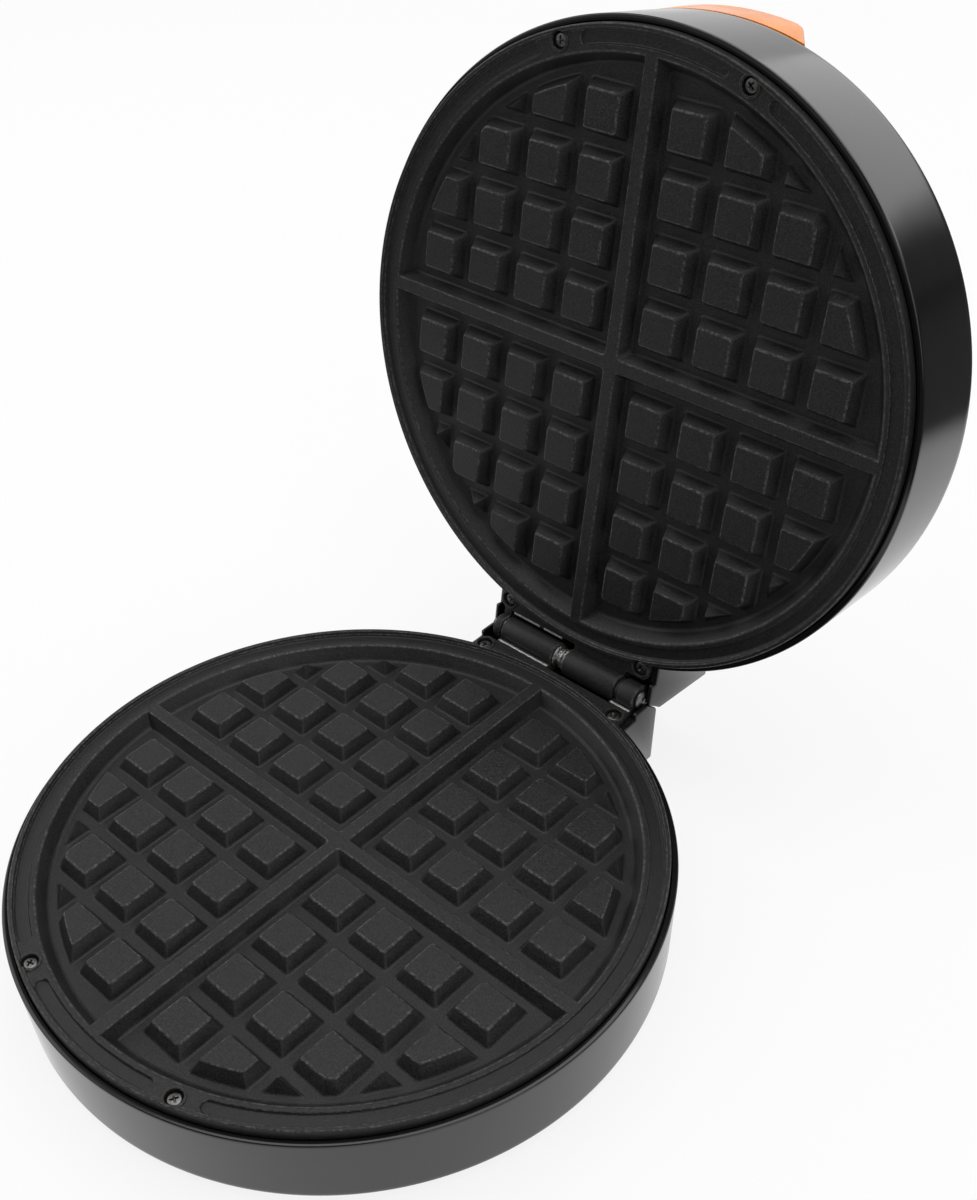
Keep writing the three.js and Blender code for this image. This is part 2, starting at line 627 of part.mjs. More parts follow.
// The base's shell has holes for the feet, vents in its floor and the cord's hole in the housing's back
function footPlaces() {
  const radius = SHELL_FOOT_RADIUS - FOOT_EDGE_INSET;
  const rearX = radius * Math.sin(REAR_FOOT_ANGLE);
  const rearY = radius * Math.cos(REAR_FOOT_ANGLE);
  const frontX = radius * Math.sin(FRONT_FOOT_ANGLE);
  const frontY = -radius * Math.cos(FRONT_FOOT_ANGLE);
  return [[-frontX, frontY], [frontX, frontY], [rearX, rearY], [-rearX, rearY]];
}

function floorHole(x, y) {
  const through = [-BASE_DEPTH - OVERRUN, SHELL_FLOOR + OVERRUN - BASE_DEPTH];
  return upright(FOOT_STEM_RADIUS + SEAT_GAP, through, SCREW_FACETS, x, y);
}

function vent(index) {
  const x0 = VENT_INNER_RADIUS;
  const half = VENT_WIDTH / 2;
  const low = -BASE_DEPTH - OVERRUN;
  const high = SHELL_FLOOR + OVERRUN - BASE_DEPTH;
  const slot = block([x0, x0 + VENT_LENGTH], [-half, half], [low, high]);
  return slot.rotateZ(2 * Math.PI * (index + 1 / 2) / VENT_COUNT);
}

// The cord's hole, midway up the inside of the housing's back and square to it
function bushingPlace() {
  const back = housingBack(BASE_HALF);
  const z = (BASE_HALF.housingBottom + SHELL_WALL + CAVITY_TOP) / 2;
  return { x: BUSHING_X, y: back.at(z), z, lean: back.lean };
}

function cordHole() {
  const { x, y, z, lean } = bushingPlace();
  const reach = SHELL_WALL + OVERRUN;
  const hole = upright(BUSHING_NECK_RADIUS + SEAT_GAP, [-reach, reach]);
  return hole.rotateX(-Math.PI / 2 - lean).translate(x, y, z);
}

function baseShell() {
  const feetHoles = footPlaces().map(([x, y]) => floorHole(x, y));
  const vents = Array.from({ length: VENT_COUNT }, (_, index) => vent(index));
  return cut(shell(BASE_HALF), ...feetHoles, ...vents, cordHole());
}

// The lid's shell has holes for the lamps and for the handle's screws
function lidShell() {
  const through = [-LID_DEPTH - OVERRUN, SHELL_FLOOR + OVERRUN - LID_DEPTH];
  const lampHoles = [-LAMP_SPACING / 2, LAMP_SPACING / 2].map((x) => (
    upright(LENS_RADIUS + SEAT_GAP, through, ROUND_FACETS, x, LENS_Y)
  ));
  const screwHoles = [-HANDLE_SCREW_SPACING / 2, HANDLE_SCREW_SPACING / 2].map((x) => (
    upright(SCREW_HOLE_RADIUS, through, SCREW_FACETS, x, HANDLE_SCREW_Y)
  ));
  return cut(shell(LID_HALF), ...lampHoles, ...screwHoles);
}

// A screw standing on its tip, with its head's top at z = 0 and a cross cut in it
function screw(length) {
  const body = turned([
    [0, -length],
    [SCREW_SHANK_RADIUS, -length],
    [SCREW_SHANK_RADIUS, -SCREW_HEAD_HEIGHT],
    [SCREW_HEAD_RADIUS, -SCREW_HEAD_HEIGHT],
    [SCREW_HEAD_RADIUS, -SCREW_HEAD_CHAMFER],
    [SCREW_HEAD_RADIUS - SCREW_HEAD_CHAMFER, 0],
    [0, 0],
  ], SCREW_FACETS);
  const long = [-SCREW_CROSS_LENGTH / 2, SCREW_CROSS_LENGTH / 2];
  const wide = [-SCREW_CROSS_WIDTH / 2, SCREW_CROSS_WIDTH / 2];
  const deep = [-SCREW_CROSS_DEPTH, OVERRUN];
  return cut(body, block(long, wide, deep), block(wide, long, deep));
}

// A rubber foot that pushes into the floor, z = 0 at the floor's underside
function foot() {
  return turned([
    [0, -FOOT_PROUD],
    [FOOT_RADIUS - FOOT_DRAFT, -FOOT_PROUD],
    [FOOT_RADIUS, -SEAT_GAP],
    [FOOT_STEM_RADIUS, -SEAT_GAP],
    [FOOT_STEM_RADIUS, SHELL_FLOOR + SEAT_GAP],
    [FOOT_BARB_RADIUS, SHELL_FLOOR + SEAT_GAP],
    [FOOT_STEM_RADIUS, SHELL_FLOOR + SEAT_GAP + FOOT_BARB_HEIGHT],
    [0, SHELL_FLOOR + SEAT_GAP + FOOT_BARB_HEIGHT],
  ], ROUND_FACETS);
}

// Hinge pin with a head at its right end, and the loose spacer between the knuckles
function hingePin() {
  const shaft = crosswise(PIN_RADIUS, [UPPER_SHORT_START, PIN_HEAD_START + PIN_HEAD_LENGTH / 2], 0, 0);
  const head = crosswise(PIN_HEAD_RADIUS, [PIN_HEAD_START, PIN_HEAD_START + PIN_HEAD_LENGTH], 0, 0);
  return join(shaft, head);
}

function hingeSpacer() {
  const ends = [SPACER_START, SPACER_START + SPACER_LENGTH];
  const outside = crosswise(SPACER_RADIUS, ends, 0, 0);
  const hole = crosswise(PIN_RADIUS + RUNNING_GAP, [ends[0] - OVERRUN, ends[1] + OVERRUN], 0, 0);
  return cut(outside, hole);
}

// Tubular heating element, an open loop under the plate whose ends turn away from it
class ElementPath extends THREE.Curve {
  getPoint(t, target = new THREE.Vector3()) {
    const halfOpening = Math.asin(ELEMENT_OPENING / 2 / ELEMENT_LOOP_RADIUS);
    const loop = ELEMENT_LOOP_RADIUS * 2 * (Math.PI - halfOpening);
    const quarter = ELEMENT_BEND * Math.PI / 2;
    const total = loop + 2 * (quarter + ELEMENT_LEG);
    const along = t * total;
    const fromEnd = Math.min(along, total - along);
    const side = along < total / 2 ? 1 : -1;
    const onLoop = Math.max(fromEnd - ELEMENT_LEG - quarter, 0);
    const angle = Math.PI / 2 - side * (halfOpening + onLoop / ELEMENT_LOOP_RADIUS);
    const place = new THREE.Vector2(Math.cos(angle), Math.sin(angle)).multiplyScalar(ELEMENT_LOOP_RADIUS);
    const tangent = new THREE.Vector2(-Math.sin(angle), Math.cos(angle)).multiplyScalar(side);
    const bent = Math.min(Math.max(quarter + ELEMENT_LEG - fromEnd, 0), quarter) / ELEMENT_BEND;
    const leg = Math.max(ELEMENT_LEG - fromEnd, 0);
    place.addScaledVector(tangent, ELEMENT_BEND * Math.sin(bent));
    return target.set(place.x, place.y, ELEMENT_BEND * (Math.cos(bent) - 1) - leg);
  }
}

function heatingElement() {
  return tube(new ElementPath(), ELEMENT_RADIUS, ELEMENT_STEPS, TUBE_FACETS);
}

// Where the two legs of the element point away from the plate
function elementLegPlaces() {
  const halfOpening = Math.asin(ELEMENT_OPENING / 2 / ELEMENT_LOOP_RADIUS);
  const x = ELEMENT_LOOP_RADIUS * Math.sin(halfOpening) - ELEMENT_BEND * Math.cos(halfOpening);
  const y = ELEMENT_LOOP_RADIUS * Math.cos(halfOpening) + ELEMENT_BEND * Math.sin(halfOpening);
  return [[-x, y], [x, y]];
}

// Reflector dish under the element, z = 0 at its upper face
function reflector() {
  const lipRadius = REFLECTOR_RADIUS + REFLECTOR_LIP;
  const dish = turned([
    [REFLECTOR_EYE_RADIUS, -REFLECTOR_THICKNESS],
    [REFLECTOR_RADIUS, -REFLECTOR_THICKNESS],
    [lipRadius, REFLECTOR_LIP - REFLECTOR_THICKNESS],
    [lipRadius, REFLECTOR_LIP],
    [REFLECTOR_RADIUS, 0],
    [REFLECTOR_EYE_RADIUS, 0],
    [REFLECTOR_EYE_RADIUS, -REFLECTOR_THICKNESS],
  ], RIM_FACETS / 2);
  const through = [-REFLECTOR_THICKNESS - OVERRUN, OVERRUN];
  const legHoles = elementLegPlaces().map(([x, y]) => (
    upright(ELEMENT_RADIUS + REFLECTOR_LEG_CLEARANCE, through, ROUND_FACETS, x, y)
  ));
  const screwHoles = postPlaces().map((x) => upright(SCREW_HOLE_RADIUS, through, SCREW_FACETS, x, 0));
  return cut(dish, ...legHoles, ...screwHoles);
}

// Thermostat under the middle of the lower plate, z = 0 at its sensing face
function thermostat() {
  const body = upright(THERMOSTAT_RADIUS, [-THERMOSTAT_HEIGHT, 0]);
  const blades = [-1, 1].map((side) => {
    const x = side * THERMOSTAT_BLADE_SPACING / 2;
    const halfThickness = THERMOSTAT_BLADE_THICKNESS / 2;
    const halfWidth = THERMOSTAT_BLADE_WIDTH / 2;
    const drop = [-THERMOSTAT_HEIGHT - THERMOSTAT_BLADE_LENGTH, OVERRUN - THERMOSTAT_HEIGHT];
    return block([x - halfThickness, x + halfThickness], [-halfWidth, halfWidth], drop);
  });
  return join(body, ...blades);
}

// Terminal block on the base's floor, z = 0 at its foot
function terminalBlock() {
  const across = [-BLOCK_WIDTH / 2, BLOCK_WIDTH / 2];
  const along = [-BLOCK_DEPTH / 2, BLOCK_DEPTH / 2];
  const body = block(across, along, [0, BLOCK_HEIGHT]);
  const pockets = [-1, 0, 1].map((place) => {
    const deep = [BLOCK_HEIGHT - BLOCK_SCREW_DEPTH, BLOCK_HEIGHT + OVERRUN];
    return upright(BLOCK_SCREW_RADIUS, deep, SCREW_FACETS, place * BLOCK_SCREW_PITCH, 0);
  });
  return cut(body, ...pockets);
}

// Midway across the terminal block, a little behind the element's legs
function blockMiddleY() {
  return elementLegPlaces()[0][1] + BLOCK_BEHIND_LEGS;
}

// A lead out of the terminal block's side that rises to just under one leg of the element
function elementLead(side) {
  const [legX, legY] = elementLegPlaces()[side < 0 ? 0 : 1];
  const legBottom = ELEMENT_LEVEL - ELEMENT_BEND - ELEMENT_LEG - SEAT_GAP;
  const blockSide = side * (BLOCK_WIDTH / 2 + SEAT_GAP);
  const midBlock = SHELL_FLOOR - BASE_DEPTH + SEAT_GAP + BLOCK_HEIGHT / 2;
  const curve = new THREE.CubicBezierCurve3(
    new THREE.Vector3(blockSide, blockMiddleY(), midBlock),
    new THREE.Vector3(blockSide + side * LEAD_SWEEP, blockMiddleY(), midBlock),
    new THREE.Vector3(legX, legY, midBlock),
    new THREE.Vector3(legX, legY, legBottom),
  );
  return tube(curve, LEAD_RADIUS, LEAD_STEPS, LEAD_FACETS);
}

// Flanged bushing that lines the cord's hole, with the housing's back in its waist at z = 0
function cordBushing() {
  const flangeInner = SHELL_WALL + SEAT_GAP;
  return turned([
    [BUSHING_BORE_RADIUS, -flangeInner - BUSHING_FLANGE_LENGTH],
    [BUSHING_FLANGE_RADIUS - SEAT_GAP, -flangeInner - BUSHING_FLANGE_LENGTH],
    [BUSHING_FLANGE_RADIUS, -flangeInner],
    [BUSHING_NECK_RADIUS, -flangeInner],
    [BUSHING_NECK_RADIUS, SEAT_GAP],
    [BUSHING_FLANGE_RADIUS, SEAT_GAP],
    [BUSHING_FLANGE_RADIUS, SEAT_GAP + BUSHING_FLANGE_LENGTH - BUSHING_FLANGE_CHAMFER],
    [BUSHING_FLANGE_RADIUS - BUSHING_FLANGE_CHAMFER, SEAT_GAP + BUSHING_FLANGE_LENGTH],
    [BUSHING_BORE_RADIUS, SEAT_GAP + BUSHING_FLANGE_LENGTH],
    [BUSHING_BORE_RADIUS, -flangeInner - BUSHING_FLANGE_LENGTH],
  ], ROUND_FACETS);
}

// Handle on the lid's top, its front flush with the lid's wall and its back open for the fingers.
// It stands on z = 0 and rises along +Z, with the lid's middle towards +Y.
function handle() {
  const baseHalf = HANDLE_BASE_WIDTH / 2;
  const topHalf = HANDLE_TOP_WIDTH / 2;
  const frontY = -SHELL_FOOT_RADIUS;
  const cornerZ = HANDLE_HEIGHT - HANDLE_CORNER;
  const outline = new THREE.Shape();
  outline.moveTo(-baseHalf, 0);
  outline.lineTo(baseHalf, 0);
  outline.lineTo(topHalf + HANDLE_CORNER_LEAN, cornerZ);
  outline.quadraticCurveTo(topHalf, HANDLE_HEIGHT, topHalf - HANDLE_CORNER, HANDLE_HEIGHT);
  outline.lineTo(HANDLE_CORNER - topHalf, HANDLE_HEIGHT);
  outline.quadraticCurveTo(-topHalf, HANDLE_HEIGHT, -topHalf - HANDLE_CORNER_LEAN, cornerZ);
  const options = { depth: HANDLE_DEPTH, bevelEnabled: false, curveSegments: ROUND_FACETS / 4 };
  const hump = new THREE.ExtrudeGeometry(outline, options);
  hump.rotateX(Math.PI / 2).translate(0, frontY + HANDLE_DEPTH, 0);
  const wall = upright(SHELL_FOOT_RADIUS, [-OVERRUN, HANDLE_HEIGHT + OVERRUN], 2 * RIM_FACETS);
  const slope = Math.atan2(HANDLE_HEIGHT - HANDLE_REAR_HEIGHT, HANDLE_DEPTH);
  const above = block([-baseHalf, baseHalf], [-HANDLE_DEPTH, 2 * HANDLE_DEPTH], [0, HANDLE_HEIGHT]);
  above.rotateX(-slope).translate(0, frontY, HANDLE_HEIGHT);
  const pocketHalf = HANDLE_POCKET_WIDTH / 2;
  const backY = frontY + HANDLE_DEPTH;
  const pocket = block(
    [-pocketHalf, pocketHalf],
    [backY - HANDLE_POCKET_DEPTH, backY + OVERRUN],
    [-OVERRUN, HANDLE_POCKET_HEIGHT],
  );
  const pilots = [-HANDLE_SCREW_SPACING / 2, HANDLE_SCREW_SPACING / 2].map((x) => (
    upright(SCREW_HOLE_RADIUS, [-OVERRUN, HANDLE_SCREW_BITE + SEAT_GAP], SCREW_FACETS, x, HANDLE_SCREW_Y)
  ));
  return cut(common(hump, wall), above, pocket, ...pilots);
}

// Lamp lens that sits in the lid's top, z = 0 at the lid's outer face, bored for its lamp
function lens() {
  return turned([
    [LENS_BORE_RADIUS, -LENS_LENGTH],
    [LENS_RADIUS, -LENS_LENGTH],
    [LENS_RADIUS, SEAT_GAP],
    [LENS_FLANGE_RADIUS, SEAT_GAP],
    [LENS_FLANGE_RADIUS, LENS_FLANGE_HEIGHT],
    [LENS_RADIUS, LENS_FLANGE_HEIGHT + LENS_DOME_SHOULDER],
    [0, LENS_FLANGE_HEIGHT + LENS_DOME_HEIGHT],
    [0, 0],
    [LENS_BORE_RADIUS, 0],
    [LENS_BORE_RADIUS, -LENS_LENGTH],
  ], ROUND_FACETS);
}

// Nodes
const waffleMaker = new THREE.Group();
const base = new THREE.Group();
const lidPivot = new THREE.Group();
const lid = new THREE.Group();
waffleMaker.add(base, lidPivot);
lidPivot.add(lid);
base.position.z = PLATE_LEVEL;
lidPivot.position.set(0, HINGE_Y, PLATE_LEVEL + HINGE_Z);
lidPivot.rotation.x = -OPEN_ANGLE;
lid.rotation.y = Math.PI;
lid.position.set(0, -HINGE_Y, CLOSED_PIP_GAP - HINGE_Z);

function addPiece(parent, name, shape, look, place = [0, 0, 0]) {
  const mesh = new THREE.Mesh(geometryOf(solid(shape)), look);
  mesh.name = name;
  mesh.position.set(...place);
  parent.add(mesh);
  return mesh;
}

// What the two halves have in common
function addHalf(parent, name, knuckles) {
  addPiece(parent, `${name}_plate`, cookingPlate(knuckles), nonStick);
  const screwShape = screw(SCREW_LENGTH);
  plateScrewPlaces().forEach(({ x, y }, index) => {
    addPiece(parent, `${name}_plate_screw_${index + 1}`, screwShape, darkScrew, [x, y, -HEAD_SINK]);
  });
  addPiece(parent, `${name}_heating_element`, heatingElement(), darkSheath, [0, 0, ELEMENT_LEVEL]);
  addPiece(parent, `${name}_reflector`, reflector(), aluminised, [0, 0, REFLECTOR_LEVEL]);
  const postScrew = screw(SCREW_HEAD_HEIGHT + SEAT_GAP + REFLECTOR_THICKNESS + POST_SCREW_BITE);
  const postScrewLevel = REFLECTOR_LEVEL - REFLECTOR_THICKNESS - SEAT_GAP - SCREW_HEAD_HEIGHT;
  postPlaces().forEach((x, index) => {
    const pieceName = `${name}_reflector_screw_${index + 1}`;
    addPiece(parent, pieceName, postScrew, bareSteel, [x, 0, postScrewLevel]).rotation.x = Math.PI;
  });
}

// Base
addPiece(base, "base_shell", baseShell(), glossBlack);
addHalf(base, "lower", LOWER_KNUCKLES);
const thermostatPlace = [0, 0, PLATE_UNDERSIDE - SEAT_GAP];
addPiece(base, "thermostat", thermostat(), ceramic, thermostatPlace);
const blockPlace = [0, blockMiddleY(), SHELL_FLOOR - BASE_DEPTH + SEAT_GAP];
addPiece(base, "terminal_block", terminalBlock(), ceramic, blockPlace);
addPiece(base, "element_lead_1", elementLead(-1), glassSleeve);
addPiece(base, "element_lead_2", elementLead(1), glassSleeve);
footPlaces().forEach(([x, y], index) => {
  addPiece(base, `foot_${index + 1}`, foot(), blackRubber, [x, y, -BASE_DEPTH]);
});
addPiece(base, "hinge_pin", hingePin(), bareSteel, [0, HINGE_Y, HINGE_Z]);
addPiece(base, "hinge_spacer", hingeSpacer(), bareSteel, [0, HINGE_Y, HINGE_Z]);
const { x: bushingX, y: bushingY, z: bushingZ, lean: bushingLean } = bushingPlace();
const bushing = addPiece(base, "cord_bushing", cordBushing(), blackRubber, [bushingX, bushingY, bushingZ]);
bushing.rotation.x = -Math.PI / 2 - bushingLean;

// Lid. It is turned over about Y, so its left and right change places.
addPiece(lid, "lid_shell", lidShell(), glossBlack);
addHalf(lid, "upper", UPPER_KNUCKLES.map(([x0, x1]) => [-x1, -x0]));
const fuse = crosswise(FUSE_RADIUS, [-FUSE_LENGTH / 2, FUSE_LENGTH / 2], 0, 0);
addPiece(lid, "thermal_fuse", fuse, glassSleeve, [0, FUSE_OFFSET, PLATE_UNDERSIDE - SEAT_GAP - FUSE_RADIUS]);
addPiece(lid, "handle", handle(), orangeGloss, [0, 0, -LID_DEPTH - SEAT_GAP]).rotation.y = Math.PI;
const handleScrew = screw(SCREW_HEAD_HEIGHT + SHELL_FLOOR + 2 * SEAT_GAP + HANDLE_SCREW_BITE);
const handleScrewLevel = SHELL_FLOOR - LID_DEPTH + SEAT_GAP + SCREW_HEAD_HEIGHT;
[-1, 1].forEach((side, index) => {
  const place = [side * HANDLE_SCREW_SPACING / 2, HANDLE_SCREW_Y, handleScrewLevel];
  addPiece(lid, `handle_screw_${index + 1}`, handleScrew, bareSteel, place);
});
const lamps = [["power", redLens, 1], ["ready", greenLens, -1]];
lamps.forEach(([name, look, side]) => {
  const place = [side * LAMP_SPACING / 2, LENS_Y, -LID_DEPTH];
  addPiece(lid, `${name}_lens`, lens(), look, place).rotation.x = Math.PI;
  const lamp = upright(LAMP_RADIUS, [-LAMP_LENGTH - SEAT_GAP, -SEAT_GAP], SCREW_FACETS);
  addPiece(lid, `${name}_lamp`, lamp, neonGlass, place).rotation.x = Math.PI;
});

// The origin is midway across the part's outer box, on the surface that the feet stand on
const box = new THREE.Box3().setFromObject(waffleMaker, true);
const middle = box.getCenter(new THREE.Vector3());
waffleMaker.position.set(-middle.x, -middle.y, -box.min.z);

export default waffleMaker;
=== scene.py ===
# %% [markdown]
# # A round waffle maker, lid open
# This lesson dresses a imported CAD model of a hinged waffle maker: two gloss black shells, two cast plates
# with a dark non-stick coating, a worn hinge between them and an orange handle. The CAD model is the frame.
# It says where each piece is and how the lid turns, and every new piece is drawn to its numbers.

# %% Load the frame
import math

import bpy
from mathutils import Matrix, Vector


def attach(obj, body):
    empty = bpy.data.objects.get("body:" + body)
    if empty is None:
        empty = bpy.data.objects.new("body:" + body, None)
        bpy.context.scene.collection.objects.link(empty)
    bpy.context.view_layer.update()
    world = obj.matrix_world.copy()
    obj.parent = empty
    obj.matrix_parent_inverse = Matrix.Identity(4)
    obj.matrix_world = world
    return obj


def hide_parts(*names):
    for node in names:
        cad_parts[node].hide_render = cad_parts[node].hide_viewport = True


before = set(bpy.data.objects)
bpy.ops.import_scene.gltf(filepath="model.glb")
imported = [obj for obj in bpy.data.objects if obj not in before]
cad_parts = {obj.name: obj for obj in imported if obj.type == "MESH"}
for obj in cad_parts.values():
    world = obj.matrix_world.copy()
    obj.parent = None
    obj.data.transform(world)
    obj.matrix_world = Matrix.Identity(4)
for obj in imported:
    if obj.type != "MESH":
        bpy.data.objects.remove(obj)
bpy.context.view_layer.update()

# %% [markdown]
# ## Working in millimetres
# The drawing of this object is in millimetres, and its two halves are both drawn cooking face up, with
# z = 0 at the tops of the plate's raised pips. So each piece is modelled in millimetres in its own half,
# which also keeps Blender's merge and bevel distances well above their smallest step, and is then brought
# to metres and to its place in one move. The lid's half is turned over and swung back about the hinge pin.

# %% Where the two halves are
MM = 0.001
HINGE_Y = 104.9
HINGE_Z = 1.2
OPEN_ANGLE = math.radians(100.3)
PLATE_CENTRE = Vector((0, -44.787, 29.8))

base_place = Matrix.Scale(MM, 4) @ Matrix.Translation(PLATE_CENTRE)
hinge_place = base_place @ Matrix.Translation((0, HINGE_Y, HINGE_Z))
lid_place = (hinge_place @ Matrix.Rotation(-OPEN_ANGLE, 4, "X")
             @ Matrix.Translation((0, -HINGE_Y, HINGE_Z)) @ Matrix.Rotation(math.pi, 4, "Y"))
PLACES = {"base": base_place, "lid": lid_place}
print("hinge at", [round(v, 5) for v in hinge_place.translation])

# %% [markdown]
# ## A few habits, written once
# By hand one would click through the same few moves for every piece: deselect all, add a primitive, enter
# edit mode, pick some faces or edges, run a tool, come back. These helpers are those moves. Picking is done
# by a rule on each vertex, edge or face, because a script has no mouse.


# %% Select, enter and leave edit mode
def only(*pieces):
    """Deselects everything, then selects these pieces and makes the first one active."""
    bpy.ops.object.select_all(action="DESELECT")
    for piece in pieces:
        piece.select_set(True)
    bpy.context.view_layer.objects.active = pieces[0]


def leave():
    bpy.ops.object.mode_set(mode="OBJECT")


def pick_all(piece, kind="VERT", action="SELECT"):
    """Enters edit mode on one piece, with all or nothing of it selected."""
    only(piece)
    bpy.ops.object.mode_set(mode="EDIT")
    bpy.ops.mesh.select_mode(type=kind)
    bpy.ops.mesh.select_all(action=action)


def pick(piece, kind, rule):
    """Selects in edit mode the vertices, edges or faces of one piece that fit a rule."""
    pick_all(piece, kind, "DESELECT")
    leave()
    mesh = piece.data
    picked = 0
    for item in {"VERT": mesh.vertices, "EDGE": mesh.edges, "FACE": mesh.polygons}[kind]:
        item.select = bool(rule(item))
        picked += item.select
    bpy.ops.object.mode_set(mode="EDIT")
    return picked


def put(piece, place):
    """Moves a piece by a matrix and applies the move to its mesh."""
    piece.matrix_world = place @ piece.matrix_world
    only(piece)
    bpy.ops.object.transform_apply(location=True, rotation=True, scale=True)
    return piece


# %% Two starts: a block, and an outline that is extruded point by point
def add_block(name, xs, ys, zs):
    """A cube primitive made to reach from the first to the second value along each axis."""
    bpy.ops.object.select_all(action="DESELECT")
    centre = [(low + high) / 2 for low, high in (xs, ys, zs)]
    bpy.ops.mesh.primitive_cube_add(size=1, location=centre)
    block = bpy.context.object
    block.name = name
    block.scale = [high - low for low, high in (xs, ys, zs)]
    bpy.ops.object.transform_apply(location=True, rotation=True, scale=True)
    return block


def draw_outline(name, points, closed=False):
    """One vertex, extruded from point to point, as when an outline is clicked out by hand."""
    bpy.ops.object.select_all(action="DESELECT")
    bpy.ops.mesh.primitive_plane_add(size=1, location=(0, 0, 0))
    outline = bpy.context.object
    outline.name = name
    bpy.ops.object.mode_set(mode="EDIT")
    bpy.ops.mesh.select_mode(type="VERT")
    bpy.ops.mesh.select_all(action="SELECT")
    bpy.ops.mesh.merge(type="CENTER")
    bpy.ops.transform.translate(value=points[0])
    for here, there in zip(points, points[1:]):
        step = Vector(there) - Vector(here)
        bpy.ops.mesh.extrude_region_move(TRANSFORM_OT_translate={"value": step})
    if closed:
        bpy.ops.mesh.select_all(action="SELECT")
        bpy.ops.mesh.edge_face_add()
    leave()
    return outline


def round_corners(piece, corners, segments):
    """Bevels the vertices of an outline at the given places, each by its own distance."""
    for place, reach in corners:
        spot = Vector(place)
        pick(piece, "VERT", lambda vertex: (vertex.co - spot).length < 0.01)
        bpy.ops.mesh.bevel(offset=reach, segments=segments, affect="VERTICES")
        leave()


# %% Turned and extruded shapes
ROUND_STEPS = 192


def face_outwards():
    """Makes all normals of the piece in edit mode point out of it, and leaves edit mode."""
    bpy.ops.mesh.select_all(action="SELECT")
    bpy.ops.mesh.normals_make_consistent(inside=False)
    leave()


def draw_section(name, points, segments, closed=False):
    """An outline of (radius, height). A point's third value, if it has one, rounds its corner by as much.
    The corners are taken from the top down."""
    piece = draw_outline(name, [(radius, 0, height) for radius, height, *_ in points], closed)
    corners = [((radius, 0, height), *reach) for radius, height, *reach in points if reach]
    round_corners(piece, sorted(corners, key=lambda corner: -corner[0][2]), segments)
    return piece


def turn(name, points, steps=ROUND_STEPS, segments=4):
    """Spins a section about the upright axis."""
    piece = draw_section(name, points, segments)
    pick_all(piece)
    bpy.ops.mesh.spin(steps=steps, angle=2 * math.pi, center=(0, 0, 0), axis=(0, 0, 1))
    bpy.ops.mesh.select_all(action="SELECT")
    bpy.ops.mesh.remove_doubles(threshold=0.001)
    face_outwards()
    return piece


def post(name, radius, low, high, steps=48):
    """A plain round post, which mostly serves to cut a hole."""
    return turn(name, [(0, low), (radius, low), (radius, high), (0, high)], steps)


def extrude_outline(name, points, step, corners=(), segments=5):
    """Fills an outline, rounds its corners and extrudes the face into a solid."""
    piece = draw_outline(name, points, closed=True)
    round_corners(piece, corners, segments)
    pick_all(piece)
    bpy.ops.mesh.extrude_region_move(TRANSFORM_OT_translate={"value": step})
    face_outwards()
    return piece


def across(name, points, half):
    """An outline of (y, z) made thick, to reach equally far to the left and right."""
    return extrude_outline(name, [(-half, y, z) for y, z in points], (2 * half, 0, 0))


# %% Rounded edges
def corner_angles(mesh):
    """How far each edge turns its two faces from one plane, in degrees, less than zero where it is hollow."""
    faces_of = {}
    for face in mesh.polygons:
        for key in face.edge_keys:
            faces_of.setdefault(key, []).append(face)
    angles = {}
    for key, faces in faces_of.items():
        if len(faces) != 2:
            continue
        first, second = faces
        turned = math.degrees(first.normal.angle(second.normal, 0))
        hollow = (second.center - first.center).dot(first.normal) > 0
        angles[key] = -turned if hollow else turned
    return angles


def bevel_edges(piece, width, rule, sharp=25, segments=3, clamp=True):
    """Rounds the edges that are sharper than an angle and whose ends and angle fit a rule."""
    angles = corner_angles(piece.data)
    places = [vertex.co.copy() for vertex in piece.data.vertices]

    def wanted(edge):
        angle = angles.get(edge.key, 0)
        return abs(angle) > sharp and rule([places[end] for end in edge.vertices], angle)

    picked = pick(piece, "EDGE", wanted)
    if picked:
        bpy.ops.mesh.bevel(offset=width, segments=segments, profile=0.5, affect="EDGES",
                           clamp_overlap=clamp, loop_slide=True)
    leave()
    return picked


def upright(ends, angle):
    return abs(ends[0].z - ends[1].z) > 1


def above(level):
    return lambda ends, angle: min(end.z for end in ends) > level


# %% Cutting, welding, copying and settling
def combine(piece, tool, operation):
    """Applies a Boolean modifier of one piece with another, which is then removed."""
    only(piece)
    change = piece.modifiers.new("combine", "BOOLEAN")
    change.operation = operation
    change.object = tool
    change.solver = "EXACT"
    change.material_mode = "TRANSFER"
    bpy.ops.object.modifier_apply(modifier=change.name)
    bpy.data.objects.remove(tool)
    return piece


def weld(piece, tool):
    return combine(piece, tool, "UNION")


def cut(piece, tool):
    return combine(piece, tool, "DIFFERENCE")


def merge_close(piece, distance):
    pick_all(piece)
    bpy.ops.mesh.remove_doubles(threshold=distance)
    leave()


def copy_of(piece, name, turned=0.0, move=(0, 0, 0)):
    """A copy with its own mesh, turned about the upright axis and moved."""
    only(piece)
    bpy.ops.object.duplicate(linked=False)
    copy = bpy.context.object
    copy.name = name
    return put(copy, Matrix.Translation(move) @ Matrix.Rotation(turned, 4, "Z"))


def join(name, pieces):
    only(*pieces)
    bpy.ops.object.join()
    joined = bpy.context.object
    joined.name = name
    return joined


def settle(piece, name, body, replaced, finish):
    """Brings a finished piece to metres at its place, shades it, gives it its finish, makes it ride on its
    body and hides the CAD nodes that it stands for.
    """
    piece.name = name
    piece.data.name = name
    put(piece, PLACES[body])
    bpy.ops.object.shade_smooth_by_angle(angle=math.radians(32), keep_sharp_edges=True)
    if piece.data.materials:
        piece.data.materials[0] = finish
    else:
        piece.data.materials.append(finish)
    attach(piece, body)
    if replaced:
        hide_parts(*replaced)
    print(name, len(piece.data.polygons), "faces")

